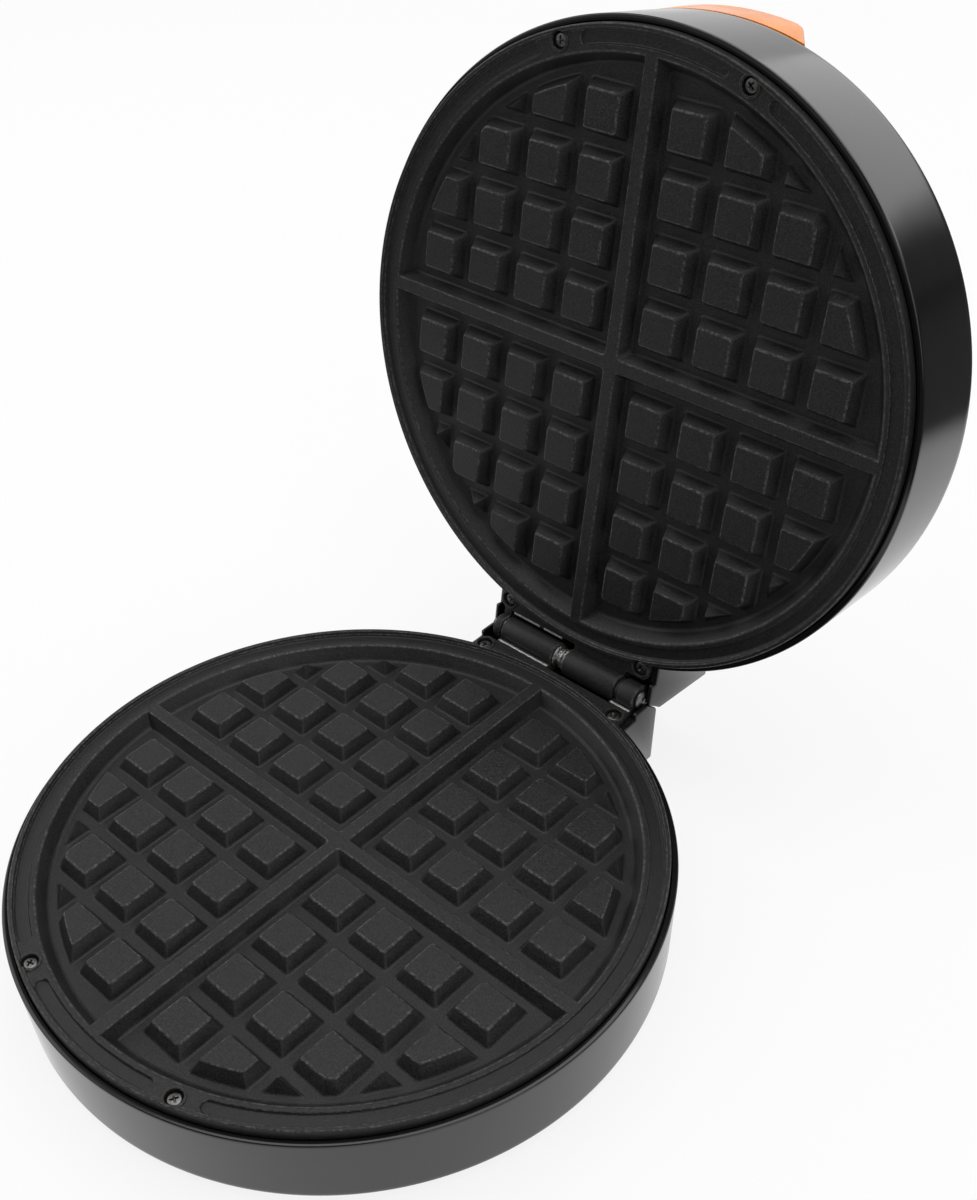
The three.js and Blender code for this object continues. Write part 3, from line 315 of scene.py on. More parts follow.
# %% [markdown]
# ## The cooking plate: its turned body
# Each plate is an aluminium casting with a round well, a flat rim and a thin lip at the edge. A casting
# with this much turned shape starts best as an outline of half its section, spun about the upright axis.
# The corners of the outline are bevelled before the spin, so that every round is made once.

# %% Spin the plate's body
WELL_TOP_RADIUS = 89.2
WELL_FLOOR_RADIUS = 86.3
PLATE_RADIUS = 96.9
RIM_UNDERSIDE = -2.4
LIP_INSIDE = 95.5
LIP_FOOT = 95.3
LIP_RISE = 0.9
BELLY_RADIUS = 88.2
BELLY_Z = -7.5
PIP_HEIGHT = 4.5


def plate_body():
    return turn("plate_body", [
        (0, BELLY_Z), (BELLY_RADIUS, BELLY_Z, 0.8), (91.1, RIM_UNDERSIDE), (PLATE_RADIUS, RIM_UNDERSIDE),
        (PLATE_RADIUS, LIP_RISE, 0.45), (LIP_INSIDE, LIP_RISE, 0.35), (LIP_FOOT, 0, 0.3),
        (WELL_TOP_RADIUS, 0, 0.8), (WELL_FLOOR_RADIUS, -PIP_HEIGHT, 0.9), (0, -PIP_HEIGHT)])


# %% [markdown]
# ## Pips and dividers
# The pips are the square posts that press the pockets into a waffle. They stand on a 19 mm pitch in four
# quarters, their sides lean in so that the waffle lets go, and the outer ones are cut to the round of the
# well. One pip is a cube with a smaller top; its upright corners are bevelled first and its top edges last,
# as a tool maker would. The pips of a quarter are modelled, and the quarter is turned three times.

# %% Model the pips of one quarter, then turn them round the plate
PIP_PITCH = 19
FIRST_PIP = 14.7
PIP_TOP_HALF = 5.75
PIP_FOOT_HALF = 7.65
PIP_LEAN = 1.9
PIP_ROOT = -6
PIP_REACH = 83.3
SMALLEST_STUB = 1


def resize_end(block, end, share_x, share_y, middle=(0, 0)):
    """Resizes the top (end 1) or bottom (end -1) of a block about its middle."""
    pick(block, "FACE", lambda face: face.normal.z * end > 0.9)
    bpy.ops.transform.resize(value=(share_x, share_y, 1), center_override=(*middle, 0))
    leave()
    return block


def raw_pip(x, y):
    foot = PIP_TOP_HALF + PIP_LEAN * -PIP_ROOT / PIP_HEIGHT
    pip = add_block("pip", (x - foot, x + foot), (y - foot, y + foot), (PIP_ROOT, 0))
    return resize_end(pip, 1, PIP_TOP_HALF / foot, PIP_TOP_HALF / foot, (x, y))


def arc_across(x, y):
    """The angles at which the round of the well passes over this pip, at its top or at its foot."""
    angles = [math.radians(step / 4) for step in range(361)]
    for radius, half in ((PIP_REACH - PIP_LEAN, PIP_TOP_HALF), (PIP_REACH, PIP_FOOT_HALF)):
        over = [angle for angle in angles if abs(radius * math.cos(angle) - x) < half
                and abs(radius * math.sin(angle) - y) < half]
        if over:
            return over[0], over[-1]


def cut_to_round(pip, first, last):
    """Bisects a pip with flats that lean as its sides do and touch the round of the well."""
    flats = 3 if last - first > 0.1 else 1
    for number in range(flats):
        angle = first + (last - first) * (number + 0.5) / flats
        out = Vector((math.cos(angle), math.sin(angle), 0))
        lean = (out + Vector((0, 0, PIP_LEAN / PIP_HEIGHT))).normalized()
        pick_all(pip, "FACE")
        bpy.ops.mesh.bisect(plane_co=out * (PIP_REACH - PIP_LEAN), plane_no=lean, use_fill=True,
                            clear_outer=True)
        leave()
    merge_close(pip, 0.15)


def all_pips():
    quarter = []
    for column in range(4):
        for row in range(4):
            x, y = FIRST_PIP + column * PIP_PITCH, FIRST_PIP + row * PIP_PITCH
            if math.hypot(x - PIP_FOOT_HALF, y - PIP_FOOT_HALF) > PIP_REACH - SMALLEST_STUB:
                continue
            pip = raw_pip(x, y)
            if math.hypot(x + PIP_FOOT_HALF, y + PIP_FOOT_HALF) > PIP_REACH:
                cut_to_round(pip, *arc_across(x, y))
            bevel_edges(pip, 0.9, upright)
            bevel_edges(pip, 0.5, above(-0.01))
            quarter.append(pip)
    print(len(quarter), "pips in a quarter")
    first = join("pips_quarter", quarter)
    return join("pips", [first, *(copy_of(first, "pips_quarter", step * math.pi / 2) for step in (1, 2, 3))])


# %% The two dividers, crossed and rounded
BAR_LENGTH, BAR_WIDTH = 87.8, 4.63


def dividers():
    bars = []
    top_of = {BAR_LENGTH: 90.4, BAR_WIDTH: 2.1}
    for length, width in ((BAR_LENGTH, BAR_WIDTH), (BAR_WIDTH, BAR_LENGTH)):
        bar = add_block("divider", (-length, length), (-width, width), (PIP_ROOT, -0.02))
        bars.append(resize_end(bar, 1, top_of[length] / length, top_of[width] / width))
    cross = weld(*bars)
    bevel_edges(cross, 1.1, lambda ends, angle: upright(ends, angle) and ends[0].length < 12 and angle < 0)
    bevel_edges(cross, 0.4, above(-0.05))
    return cross


# %% Divide the floor along the lanes between the pips
DIVIDER_LANE = 5.5
LANES = [side * middle for side in (-1, 1)
         for middle in (DIVIDER_LANE, *(FIRST_PIP + (number + 0.5) * PIP_PITCH for number in range(4)))]


def on_floor(face):
    return face.normal.z > 0.9999 and abs(face.center.z + PIP_HEIGHT) < 0.01


def tile_floor(body):
    """Clears the floor of the spin's spokes and divides it along the lanes between the pips.
    Spokes would meet the feet of the pips at all angles, and the rounding of the feet would follow them."""
    pick(body, "FACE", on_floor)
    bpy.ops.mesh.dissolve_limited(angle_limit=math.radians(0.5))
    leave()
    for lane in LANES:
        for axis in ((math.copysign(1, lane), 0, 0), (0, math.copysign(1, lane), 0)):
            pick(body, "FACE", on_floor)
            bpy.ops.mesh.bisect(plane_co=[abs(lane) * part for part in axis], plane_no=axis)
            leave()


# %% [markdown]
# ## The grooves in the rim
# A shallow groove runs round the rim to catch batter, and stops with a round end on either side of each
# front screw. Its cutter is an arc of the groove's section with a short post at each end, and all of them
# are taken out of the rim with Booleans.

# %% Cut the grooves
FRONT_SCREW_RADIUS = 93.5
FRONT_SCREW_ANGLE = math.radians(20)
GROOVE_MIDDLE = 93.0
GROOVE_HALF = 2.0
GROOVE_DEPTH = 0.8
GROOVE_GAP = 9.0 / WELL_TOP_RADIUS
GROOVE_SIDE = [(GROOVE_HALF - 0.12, -GROOVE_DEPTH, 0.4), (GROOVE_HALF, -0.22, 0.12),
               (GROOVE_HALF + 0.28, 0.06), (GROOVE_HALF + 0.28, 2)]


def groove_arc(start, end):
    """The groove's section, spun from one angle to another about the plate's middle."""
    section = [(GROOVE_MIDDLE + side * reach, *rest) for side in (1, -1)
               for reach, *rest in GROOVE_SIDE[::side]]
    arc = put(draw_section("groove_arc", section, 3, closed=True), Matrix.Rotation(start, 4, "Z"))
    pick_all(arc)
    steps = max(6, round(ROUND_STEPS * (end - start) / (2 * math.pi)))
    bpy.ops.mesh.spin(steps=steps, angle=end - start, center=(0, 0, 0), axis=(0, 0, -1))
    face_outwards()
    return arc


def groove_end(angle):
    """The same section, turned about its own middle, which gives the groove its round end.
    It is a hair smaller and turned a little, so that its faces don't fall on the arc's."""
    end = turn("groove_end", [(0, -GROOVE_DEPTH), *GROOVE_SIDE, (0, 2)], 48, 3)
    return put(end, Matrix.Rotation(angle, 4, "Z") @ Matrix.Translation((GROOVE_MIDDLE, 0, 0))
               @ Matrix.Rotation(0.03, 4, "Z") @ Matrix.Diagonal((0.996, 0.996, 1, 1)))


def cut_grooves(body):
    left, right = -math.pi / 2 - FRONT_SCREW_ANGLE, -math.pi / 2 + FRONT_SCREW_ANGLE
    for start, end in ((left, right), (right, left + 2 * math.pi)):
        start, end = start + GROOVE_GAP, end - GROOVE_GAP
        print("groove from", round(math.degrees(start)), "to", round(math.degrees(end)))
        for cutter in (groove_arc(start, end), groove_end(start), groove_end(end)):
            cut(body, cutter)


# %% [markdown]
# ## The ear and the knuckles
# Behind the rim the casting runs out in a flat ear that carries its share of the hinge's knuckles. The
# lower plate has a long and a short one, the upper plate fills the gaps between them. A knuckle is a turned
# barrel laid along the pin, with a web that joins it to the ear. The places where the real one has been
# milled bare after coating get a thin strip of their own, so that the metal can show there.

# %% Barrels, webs and the ear
EAR_Y = 98.7
EAR_HALF = 30.7
EAR_THICKNESS = 3.5
EAR_CORNER = 1.5
BARREL_RADIUS = 4.8
LOWER_KNUCKLES = [(-25.6, -3.6, 4.4), (22.5, 30.15, BARREL_RADIUS)]
UPPER_KNUCKLES = [(-22.1, -1.4, BARREL_RADIUS), (26.3, 29.2, 4.3)]
STEPPED_KNUCKLE = LOWER_KNUCKLES[1]


def lay_along_hinge(piece, x):
    """Turns an upright turned piece so that its foot is at x and it points along the hinge."""
    return put(piece, Matrix.Translation((x, HINGE_Y, HINGE_Z)) @ Matrix.Rotation(math.pi / 2, 4, "Y"))


def knuckle(start, end, radius):
    length = end - start
    round_off = min(0.45, length / 5)
    foot = [(radius, 0, round_off)]
    if (start, end, radius) == STEPPED_KNUCKLE:
        foot = [(3.9, 0, 0.3), (3.9, 1.5), (radius, 1.7, 0.25)]
    barrel = turn("barrel", [(0, 0), *foot, (radius, length, round_off), (0, length)], 72, 3)
    lay_along_hinge(barrel, start)
    web = add_block("web", (start + 0.02, end - 0.02), (EAR_Y - 2, HINGE_Y), (-EAR_THICKNESS + 0.03, -0.03))
    return weld(barrel, web)


def ear():
    right_side = [(EAR_HALF, 86.5), (EAR_HALF, EAR_Y - EAR_CORNER), (EAR_HALF - EAR_CORNER, EAR_Y)]
    outline = [(-EAR_HALF, 86.5), *right_side, *((-x, y) for x, y in reversed(right_side[1:]))]
    plate = extrude_outline("ear", [(x, y, -EAR_THICKNESS) for x, y in outline], (0, 0, EAR_THICKNESS - 0.01))
    bevel_edges(plate, 0.4, lambda ends, angle: min(end.z for end in ends) > -0.1
                and min(end.y for end in ends) > 95)
    return cut(plate, post("rim_inside", 96.2, -6, 2, ROUND_STEPS))


def plate_hinge_side(knuckles):
    side = ear()
    for start, end, radius in knuckles:
        weld(side, knuckle(start, end, radius))
    return cut(side, lay_along_hinge(post("bore", 2.3, 0, 80, 40), -40))


# %% [markdown]
# ## Counterbores for the plate screws
# Four screws hold each plate to its shell. The heads sit just below the rim in shallow round recesses with
# a low ring around them, which the casting has so that the coating does not chip at the edge.

# %% The ring and the recess around each plate screw
FRONT_SCREWS = [(side * FRONT_SCREW_RADIUS * math.sin(FRONT_SCREW_ANGLE),
                 -FRONT_SCREW_RADIUS * math.cos(FRONT_SCREW_ANGLE)) for side in (-1, 1)]
REAR_SCREWS = [(27.5, 94.9), (-27.5, 94.9)]
RING_RADIUS, RING_RISE = 3.3, 0.34
RECESS_RADIUS, RECESS_DEPTH = 2.52, 1.8


def stand_at(piece, x, y):
    piece.location = (x, y, 0)
    return piece


def screw_ring(depth):
    return turn("screw_ring", [(0, -depth), (RING_RADIUS + 0.08, -depth), (RING_RADIUS, RING_RISE, 0.26),
                               (0, RING_RISE)], 48, 3)


def screw_recess():
    wider = RECESS_RADIUS + 0.2
    return turn("screw_recess", [(0, -RECESS_DEPTH), (RECESS_RADIUS, -RECESS_DEPTH),
                                 (RECESS_RADIUS, 0.2, 0.1), (wider, 0.4), (wider, 2), (0, 2)], 48, 2)


def add_screw_seats(piece, places, depth):
    for place in places:
        weld(piece, stand_at(screw_ring(depth), *place))
    for place in places:
        cut(piece, stand_at(screw_recess(), *place))
        cut(piece, stand_at(post("screw_bore", 1.7, -9, -1, 24), *place))


# %% Put one casting together for both plates, then give each its own hinge side
def close_cracks(piece):
    """Joins the two sides of hairline cracks that a Boolean has left, and fills what is still open."""
    pick_all(piece, action="DESELECT")
    bpy.ops.mesh.select_non_manifold()
    bpy.ops.mesh.remove_doubles(threshold=0.03)
    bpy.ops.mesh.select_all(action="DESELECT")
    bpy.ops.mesh.select_non_manifold(use_wire=False, use_multi_face=False, use_non_contiguous=False,
                                     use_verts=False)
    bpy.ops.mesh.fill_holes(sides=0)
    face_outwards()


pips = all_pips()
casting = plate_body()
tile_floor(casting)
cut_grooves(casting)
add_screw_seats(casting, FRONT_SCREWS, 1)
for place in REAR_SCREWS:
    cut(casting, stand_at(post("seat_room", 3.2, -9, 3), *place))
weld(casting, dividers())
weld(casting, pips)
merge_close(casting, 0.02)
rounded = bevel_edges(casting, 0.6, lambda ends, angle: angle < 0
                      and max(abs(end.z + PIP_HEIGHT) for end in ends) < 0.02, clamp=False)
print(rounded, "edges rounded at the feet of the pips and dividers")


def cooking_plate(name, knuckles, ear_edge=None):
    plate = copy_of(casting, name)
    side = plate_hinge_side(knuckles)
    if ear_edge:
        weld(side, ear_edge)
    add_screw_seats(side, REAR_SCREWS, 2.33)
    weld(plate, side)
    merge_close(plate, 0.004)
    close_cracks(plate)
    return plate


# %% Mark where the coating is painted lighter, for wear and as a painted highlight, and add the strips that were milled bare
def mark_wear_and_highlight(piece):
    """Stores a mark of 0 or 1 on each face, for the finish to read: edges of the casting and knuckle ends.
    The finish paints these faces lighter, partly for wear of the coating and partly as a painted highlight.
    """
    wear_and_highlight = piece.data.attributes.new("wear_and_highlight", "FLOAT", "FACE")
    marked = 0
    for face in piece.data.polygons:
        normal, middle = face.normal, face.center
        if math.hypot(middle.y - HINGE_Y, middle.z - HINGE_Z) < BARREL_RADIUS + 0.02:
            worn_and_highlit = abs(normal.x) > 0.15
        else:
            worn_and_highlit = middle.z > -0.5 and 0.42 < normal.z < 0.985
        wear_and_highlight.data[face.index].value = float(worn_and_highlit)
        marked += worn_and_highlit
    return marked


def keep_level_faces_flat(piece):
    """Marks the borders of level faces as sharp, so that thin ones don't shade as if they leant."""
    level = {}
    for face in piece.data.polygons:
        for key in face.edge_keys:
            level.setdefault(key, set()).add(face.normal.z > 0.9999)
    borders = 0
    for edge in piece.data.edges:
        edge.use_edge_sharp = len(level[edge.key]) == 2
        borders += edge.use_edge_sharp
    return borders


def milled_strip(start, end, front, back):
    """A thin bare strip on the ear, whose front edge wavers as the cutter left it."""
    steps = 16
    edge = []
    for step in range(steps + 1):
        wave = 0.05 * math.sin(step * 2.4) + 0.03 * math.sin(step * 5.1)
        edge.append((start + (end - start) * step / steps, front + wave, -0.1))
    rear = [(end - 0.15, back, -0.1), (start + 0.15, back, -0.1)]
    strip = extrude_outline("milled_strip", edge + rear, (0, 0, 0.15))
    bevel_edges(strip, 0.03, above(0), segments=2)
    return strip


ear_edge = add_block("ear_edge", (3.7, 25.2), (97.4, 99.35), (-2.6, -0.03))
lower_plate = cooking_plate("lower_cooking_plate", LOWER_KNUCKLES)
upper_plate = cooking_plate("upper_cooking_plate", UPPER_KNUCKLES, ear_edge)
bpy.data.objects.remove(casting)
for plate in (lower_plate, upper_plate):
    print(plate.name, len(plate.data.polygons), "faces,", mark_wear_and_highlight(plate), "worn,",
          keep_level_faces_flat(plate), "borders kept sharp")
lower_strips = [milled_strip(*ends, 98.95, 99.75) for ends in ((-25.2, -3.8), (22.6, 30.4))]
upper_strips = [milled_strip(*ends, 98.6, 99.3) for ends in ((3.9, 11.9), (13.6, 25.0))]

# %% [markdown]
# ## The shells
# Base and lid are deep round bowls of gloss plastic with a box at the back for the hinge. The bowl is an
# outline spun with its wall's thickness already in it. Rings close to the rounded edges keep the flat
# top and the wall from shading like a dome. The hinge housing is a slab across the back, bevelled
# before it is welded on, hollowed, and then scooped out for the knuckles. Where the open lid leans on the
# base, both housings are cut back along one slanting plane.

# %% Spin a bowl
SHELL_TOP_RADIUS = 99.1
SHELL_FOOT_RADIUS = 97.85
SHELL_WALL = 1.9
SHELL_FLOOR = 2.2
SHELL_STEPS = 256
RIM_DROP = 2.1


def bowl(depth):
    def up_the_wall(share):
        return (SHELL_FOOT_RADIUS + (SHELL_TOP_RADIUS - SHELL_FOOT_RADIUS) * share,
                -depth + (depth - RIM_DROP) * share)

    floor = SHELL_FLOOR - depth
    return turn("bowl", [
        (0, -depth), (SHELL_FOOT_RADIUS - 3, -depth), (SHELL_FOOT_RADIUS, -depth, 1.5), up_the_wall(0.1),
        up_the_wall(0.95), (SHELL_TOP_RADIUS, -RIM_DROP, 0.45),
        (SHELL_TOP_RADIUS - SHELL_WALL, -RIM_DROP, 0.3), (SHELL_FOOT_RADIUS - SHELL_WALL, floor, 1.2),
        (0, floor)], SHELL_STEPS)


# %% Build a housing and open it for the hinge
HOUSING_HALF = 33.35
HOUSING_ROOM_HALF = 32.05
HOUSING_FRONT = 92
HOUSING_BACK = 110.1
HOUSING_LEAN = 2
CHEEK_Y = 99.0


def housing_back(bottom, slope, past):
    """The height of the housing's rear top edge, and the y of its leaning back at any height."""
    top = HINGE_Z + (past - 5.2 * math.sin(slope)) / math.cos(slope)
    return top, lambda z: HOUSING_BACK - HOUSING_LEAN * (top - z) / (top - bottom)


def housing(bottom, slope, past):
    top, back_at = housing_back(bottom, slope, past)
    start_y = HINGE_Y + (past + HINGE_Z * math.cos(slope)) / math.sin(slope)
    shoulder = -RIM_DROP + 0.02
    block = across("housing", [(HOUSING_FRONT, bottom), (back_at(bottom), bottom), (HOUSING_BACK, top),
                               (start_y, 0), (CHEEK_Y, 0), (CHEEK_Y, shoulder), (HOUSING_FRONT, shoulder)],
                   HOUSING_HALF)
    bevel_edges(block, 0.7, lambda ends, angle: max(end.y for end in ends) > CHEEK_Y - 0.1
                and min(end.y for end in ends) > HOUSING_FRONT - 1 and angle > 0)
    return block


def shell(depth, bottom, slope, past):
    body = bowl(depth)
    outer = housing(bottom, slope, past)
    _, back_at = housing_back(bottom, slope, past)
    floor = SHELL_FLOOR - depth
    inside = [(0, floor), (95.5, floor), (97.0, -RIM_DROP), (97.0, 5), (0, 5)]
    weld(body, cut(outer, turn("bowl_inside", inside, SHELL_STEPS)))
    low, high = bottom + SHELL_WALL, -6.5
    room = [(80, low), (back_at(low) - SHELL_WALL, low), (back_at(high) - SHELL_WALL, high), (80, high)]
    cut(body, across("housing_inside", room, HOUSING_ROOM_HALF))
    cut(body, add_block("ear_room", (-31, 31), (80, 99.05), (-3.8, 6)))
    cut(body, add_block("web_room", (-HOUSING_ROOM_HALF, HOUSING_ROOM_HALF), (98.9, HINGE_Y), (-3.79, 6)))
    scoop = post("scoop", 5.8, 0, 2 * HOUSING_ROOM_HALF, 96)
    return cut(body, lay_along_hinge(scoop, -HOUSING_ROOM_HALF))


# %% Vents, and holes for feet, screws, lamps and cord
VENT_INNER, VENT_OUTER, VENT_HALF = 26, 50, 1.5
FOOT_RADIUS = SHELL_FOOT_RADIUS - 8.5
FOOT_ANGLES = (180 + 32, 180 - 32, 24, -24)
LENS_X, LENS_Y = 7, 40 - SHELL_FOOT_RADIUS
HANDLE_SCREW_X, HANDLE_SCREW_Y = 19, 13 - SHELL_FOOT_RADIUS
CORD_X = 18


def vent(turned, depth):
    slot = add_block("vent", (VENT_INNER, VENT_OUTER), (-VENT_HALF, VENT_HALF), (-depth - 2, 4 - depth))
    bevel_edges(slot, VENT_HALF - 0.02, upright, segments=6)
    return put(slot, Matrix.Rotation(turned, 4, "Z"))


def upright_hole(radius, x, y, depth):
    return put(post("hole", radius, -depth - 2, 5 - depth), Matrix.Translation((x, y, 0)))


def foot_place(degrees):
    angle = math.radians(degrees)
    return FOOT_RADIUS * math.sin(angle), FOOT_RADIUS * math.cos(angle)


def bushing_place(bottom, slope, past):
    """Where the cord leaves the housing's back: in the middle of it, square to the leaning wall."""
    top, back_at = housing_back(bottom, slope, past)
    middle = (bottom + SHELL_WALL - 6.5) / 2
    return (Matrix.Translation((CORD_X, back_at(middle), middle))
            @ Matrix.Rotation(-math.pi / 2 - math.atan2(HOUSING_LEAN, top - bottom), 4, "X"))


def cut_base_holes(body, depth, place):
    holes = [vent(math.radians(45 * (number + 0.5)), depth) for number in range(8)]
    holes += [upright_hole(2.7, *foot_place(degrees), depth) for degrees in FOOT_ANGLES]
    cut(body, join("floor_holes", holes))
    cut(body, put(post("cord_hole", 4.9, -6, 4, 64), place))
    merge_close(body, 0.01)
    return bevel_edges(body, 0.35, lambda ends, angle: angle > 0 and max(end.z for end in ends) < 0.02 - depth
                       and all(VENT_INNER - 1 < end.xy.length < VENT_OUTER + 1 for end in ends), segments=2)


def cut_lid_holes(body, depth):
    holes = [upright_hole(3.3, side * LENS_X, LENS_Y, depth) for side in (-1, 1)]
    holes += [upright_hole(1.7, side * HANDLE_SCREW_X, HANDLE_SCREW_Y, depth) for side in (-1, 1)]
    cut(body, join("top_holes", holes))
    merge_close(body, 0.01)


STOP_SLOPE = math.radians(41)
BASE_DEPTH = 26.8
LID_DEPTH = 32.5
BASE_HOUSING = (2.2 - BASE_DEPTH, STOP_SLOPE, -0.8)
LID_HOUSING = (0.5 - LID_DEPTH, OPEN_ANGLE - STOP_SLOPE, 0.5)
base_shell = shell(BASE_DEPTH, *BASE_HOUSING)
lid_shell = shell(LID_DEPTH, *LID_HOUSING)
cord_place = bushing_place(*BASE_HOUSING)
print("vent edges rounded", cut_base_holes(base_shell, BASE_DEPTH, cord_place))
cut_lid_holes(lid_shell, LID_DEPTH)
print("base shell", len(base_shell.data.polygons), "lid shell", len(lid_shell.data.polygons))


# %% [markdown]
# ## Cross-head screws
# The head is a low dome, turned from an outline, and its cross is a tapered plus that is cut out. The cutter
# is two crossed wedges: a cube each, with its lower face made smaller. One screw is modelled and copied, and
# each copy is turned a little differently, as screws end up when they are driven home.

# %% Model one screw and copy it to every place
SMALL_STEPS = 64
HEAD_SINK = 0.3
SCREW_LENGTH = 10
HEAD_RADIUS = 2.35
CROSS_REACH, CROSS_HALF = 1.45, 0.36


def cross_cutter():
    wedges = []
    for half_x, half_y in ((CROSS_REACH, CROSS_HALF), (CROSS_HALF, CROSS_REACH)):
        wedge = add_block("wedge", (-half_x, half_x), (-half_y, half_y), (-0.95, 0.3))
        wedges.append(resize_end(wedge, -1, 0.45, 0.45))
    return weld(*wedges)


def model_screw():
    screw = turn("screw", [
        (0, -SCREW_LENGTH), (1.1, -SCREW_LENGTH), (1.4, 0.5 - SCREW_LENGTH), (1.4, -1.2), (HEAD_RADIUS, -1.2),
        (HEAD_RADIUS, -0.62, 0.2), (1.9, -0.12, 0.25), (0.9, 0, 0.3), (0, 0)], SMALL_STEPS, 3)
    cut(screw, cross_cutter())
    bevel_edges(screw, 0.06, lambda ends, angle: angle > 0 and min(end.z for end in ends) > -0.4
                and max(end.xy.length for end in ends) < 1.6, sharp=30, segments=2)
    return screw


screw_model = model_screw()
SCREW_TURNS = {"lower": (0.35, 1.1, 0.75, 0.2), "upper": (0.9, 0.1, 0.5, 1.25)}
plate_screws = []
for half, body in (("lower", "base"), ("upper", "lid")):
    for number, (place, turned) in enumerate(zip(FRONT_SCREWS + REAR_SCREWS, SCREW_TURNS[half]), start=1):
        node = f"{half}_plate_screw_{number}"
        plate_screws.append((copy_of(screw_model, node, turned, (*place, -HEAD_SINK)), node, body))
bpy.data.objects.remove(screw_model)
print(len(plate_screws), "plate screws")

# %% [markdown]
# ## The pin and its spacer
# The pin is a rod with a flat head at the right and an end that was hammered over. Between the two long
# knuckles sits a short worn sleeve with a collar at each end. Both are turned upright and laid down.

# %% Turn the pin, the spacer and the washer
PIN_START = -31.45
SPACER_START = -3.35
WASHER_START = -26.35
pin = turn("hinge_pin_rod", [
    (0, 0), (1.5, 0), (2.0, 0.4), (2.0, 61.9), (3.4, 61.9, 0.15), (3.4, 62.6, 0.2), (2.7, 62.9, 0.2),
    (1.2, 62.9), (0.9, 62.65), (0, 62.6)], SMALL_STEPS, 3)
lay_along_hinge(pin, PIN_START)
spacer = turn("hinge_spacer_sleeve", [
    (2.3, 0), (3.9, 0, 0.2), (3.9, 0.8, 0.15), (3.0, 1.1, 0.1), (3.0, 1.9), (3.5, 2.1, 0.1), (3.5, 2.9, 0.1),
    (3.0, 3.1), (3.0, 3.5, 0.1), (4.1, 3.8), (4.1, 4.5, 0.2), (2.3, 4.5), (2.3, 0)], SMALL_STEPS, 2)
only(spacer)
dents = bpy.data.textures.new("dents", "CLOUDS")
dents.noise_scale = 0.9
ragged = spacer.modifiers.new("ragged", "DISPLACE")
ragged.texture = dents
ragged.strength = 0.65
ragged.mid_level = 0.55
bpy.ops.object.modifier_apply(modifier=ragged.name)
lay_along_hinge(spacer, SPACER_START)
washer = turn("hinge_washer", [
    (2.1, 0), (3.5, 0, 0.1), (3.5, 0.35, 0.1), (2.9, 0.4), (2.9, 0.8, 0.12), (2.1, 0.8), (2.1, 0)],
    SMALL_STEPS, 2)
lay_along_hinge(washer, WASHER_START)
print("pin", len(pin.data.polygons), "spacer", len(spacer.data.polygons))

# %% [markdown]
# ## The handle
# The handle is one moulding on the lid's top, wide at its foot and narrow above, whose front is flush with
# the lid's wall. Its outline from the front is extruded backwards and cut to the round of the wall, the top
# is bisected with a slight slope to the rear, and all edges are rounded before the finger pocket is cut.

# %% Shape the handle
HANDLE_FOOT = -LID_DEPTH - 0.3
HANDLE_FOOT_HALF = 26.8
HANDLE_TOP_HALF = 16.8
HANDLE_HEIGHT = 14.3
HANDLE_DEPTH = 27
HANDLE_FALL = 1.8
POCKET_HALF = 13


def model_handle():
    front, back = -SHELL_FOOT_RADIUS - 2, -SHELL_FOOT_RADIUS + HANDLE_DEPTH
    top = [(HANDLE_TOP_HALF, front, HANDLE_HEIGHT), (-HANDLE_TOP_HALF, front, HANDLE_HEIGHT)]
    outline = [(-HANDLE_FOOT_HALF, front, 0), (HANDLE_FOOT_HALF, front, 0), *top]
    body = extrude_outline("handle_body", outline, (0, back - front, 0), [(end, 4.2) for end in top])
    over = HANDLE_HEIGHT + 0.1
    wall = [(0, -3), (SHELL_FOOT_RADIUS, -3), (SHELL_FOOT_RADIUS, over, 1.8), (0, over)]
    combine(body, turn("handle_wall", wall, 180, 5), "INTERSECT")
    slope = Vector((0, HANDLE_FALL, HANDLE_DEPTH)).normalized()
    pick_all(body, "FACE")
    bpy.ops.mesh.bisect(plane_co=(0, -SHELL_FOOT_RADIUS, HANDLE_HEIGHT), plane_no=slope, use_fill=True,
                        clear_outer=True)
    leave()
    merge_close(body, 0.4)
    bevel_edges(body, 1.2, lambda ends, angle: max(end.z for end in ends) > 0.5, sharp=35, segments=4)
    pocket = add_block("pocket", (-POCKET_HALF, POCKET_HALF), (back - 20, back + 2), (-2, 9.5))
    bevel_edges(pocket, 2.5, lambda ends, angle: abs(ends[0].y - ends[1].y) > 10
                and min(end.z for end in ends) > 5, segments=5)
    cut(body, pocket)
    bevel_edges(body, 0.8, lambda ends, angle: min(end.y for end in ends) > back - 0.1
                and max(abs(end.x) for end in ends) < POCKET_HALF + 0.1 and angle > 0, sharp=40)
    return put(body, Matrix.Translation((0, 0, HANDLE_FOOT)) @ Matrix.Rotation(math.pi, 4, "Y"))


handle_moulding = model_handle()
print("handle", len(handle_moulding.data.polygons))

# %% [markdown]
# ## Feet, bushing and lamp lenses
# These are all turned. A foot is a soft button with a dished sole and a barb above the floor. The bushing
# lines the hole where a cord would leave. The lenses are low domes beside each other on the lid's top.

# %% Turn the small round pieces
def model_foot():
    return turn("foot", [
        (0, -2.6), (3.4, -2.6), (4.0, -3, 0.3), (5.2, -3, 0.7), (6, -0.3, 0.4), (2.4, -0.3), (2.4, 2.5),
        (3.4, 2.5), (2.4, 4.5), (0, 4.5)], SMALL_STEPS)


def model_lens():
    return turn("lens", [
        (1.9, -7), (3, -7), (3, 0.3), (4.2, 0.3), (4.2, 0.9, 0.25), (3.3, 1.0, 0.1), (1.8, 1.45, 0.8),
        (0, 1.6), (0, 0), (1.9, 0), (1.9, -7)], SMALL_STEPS)


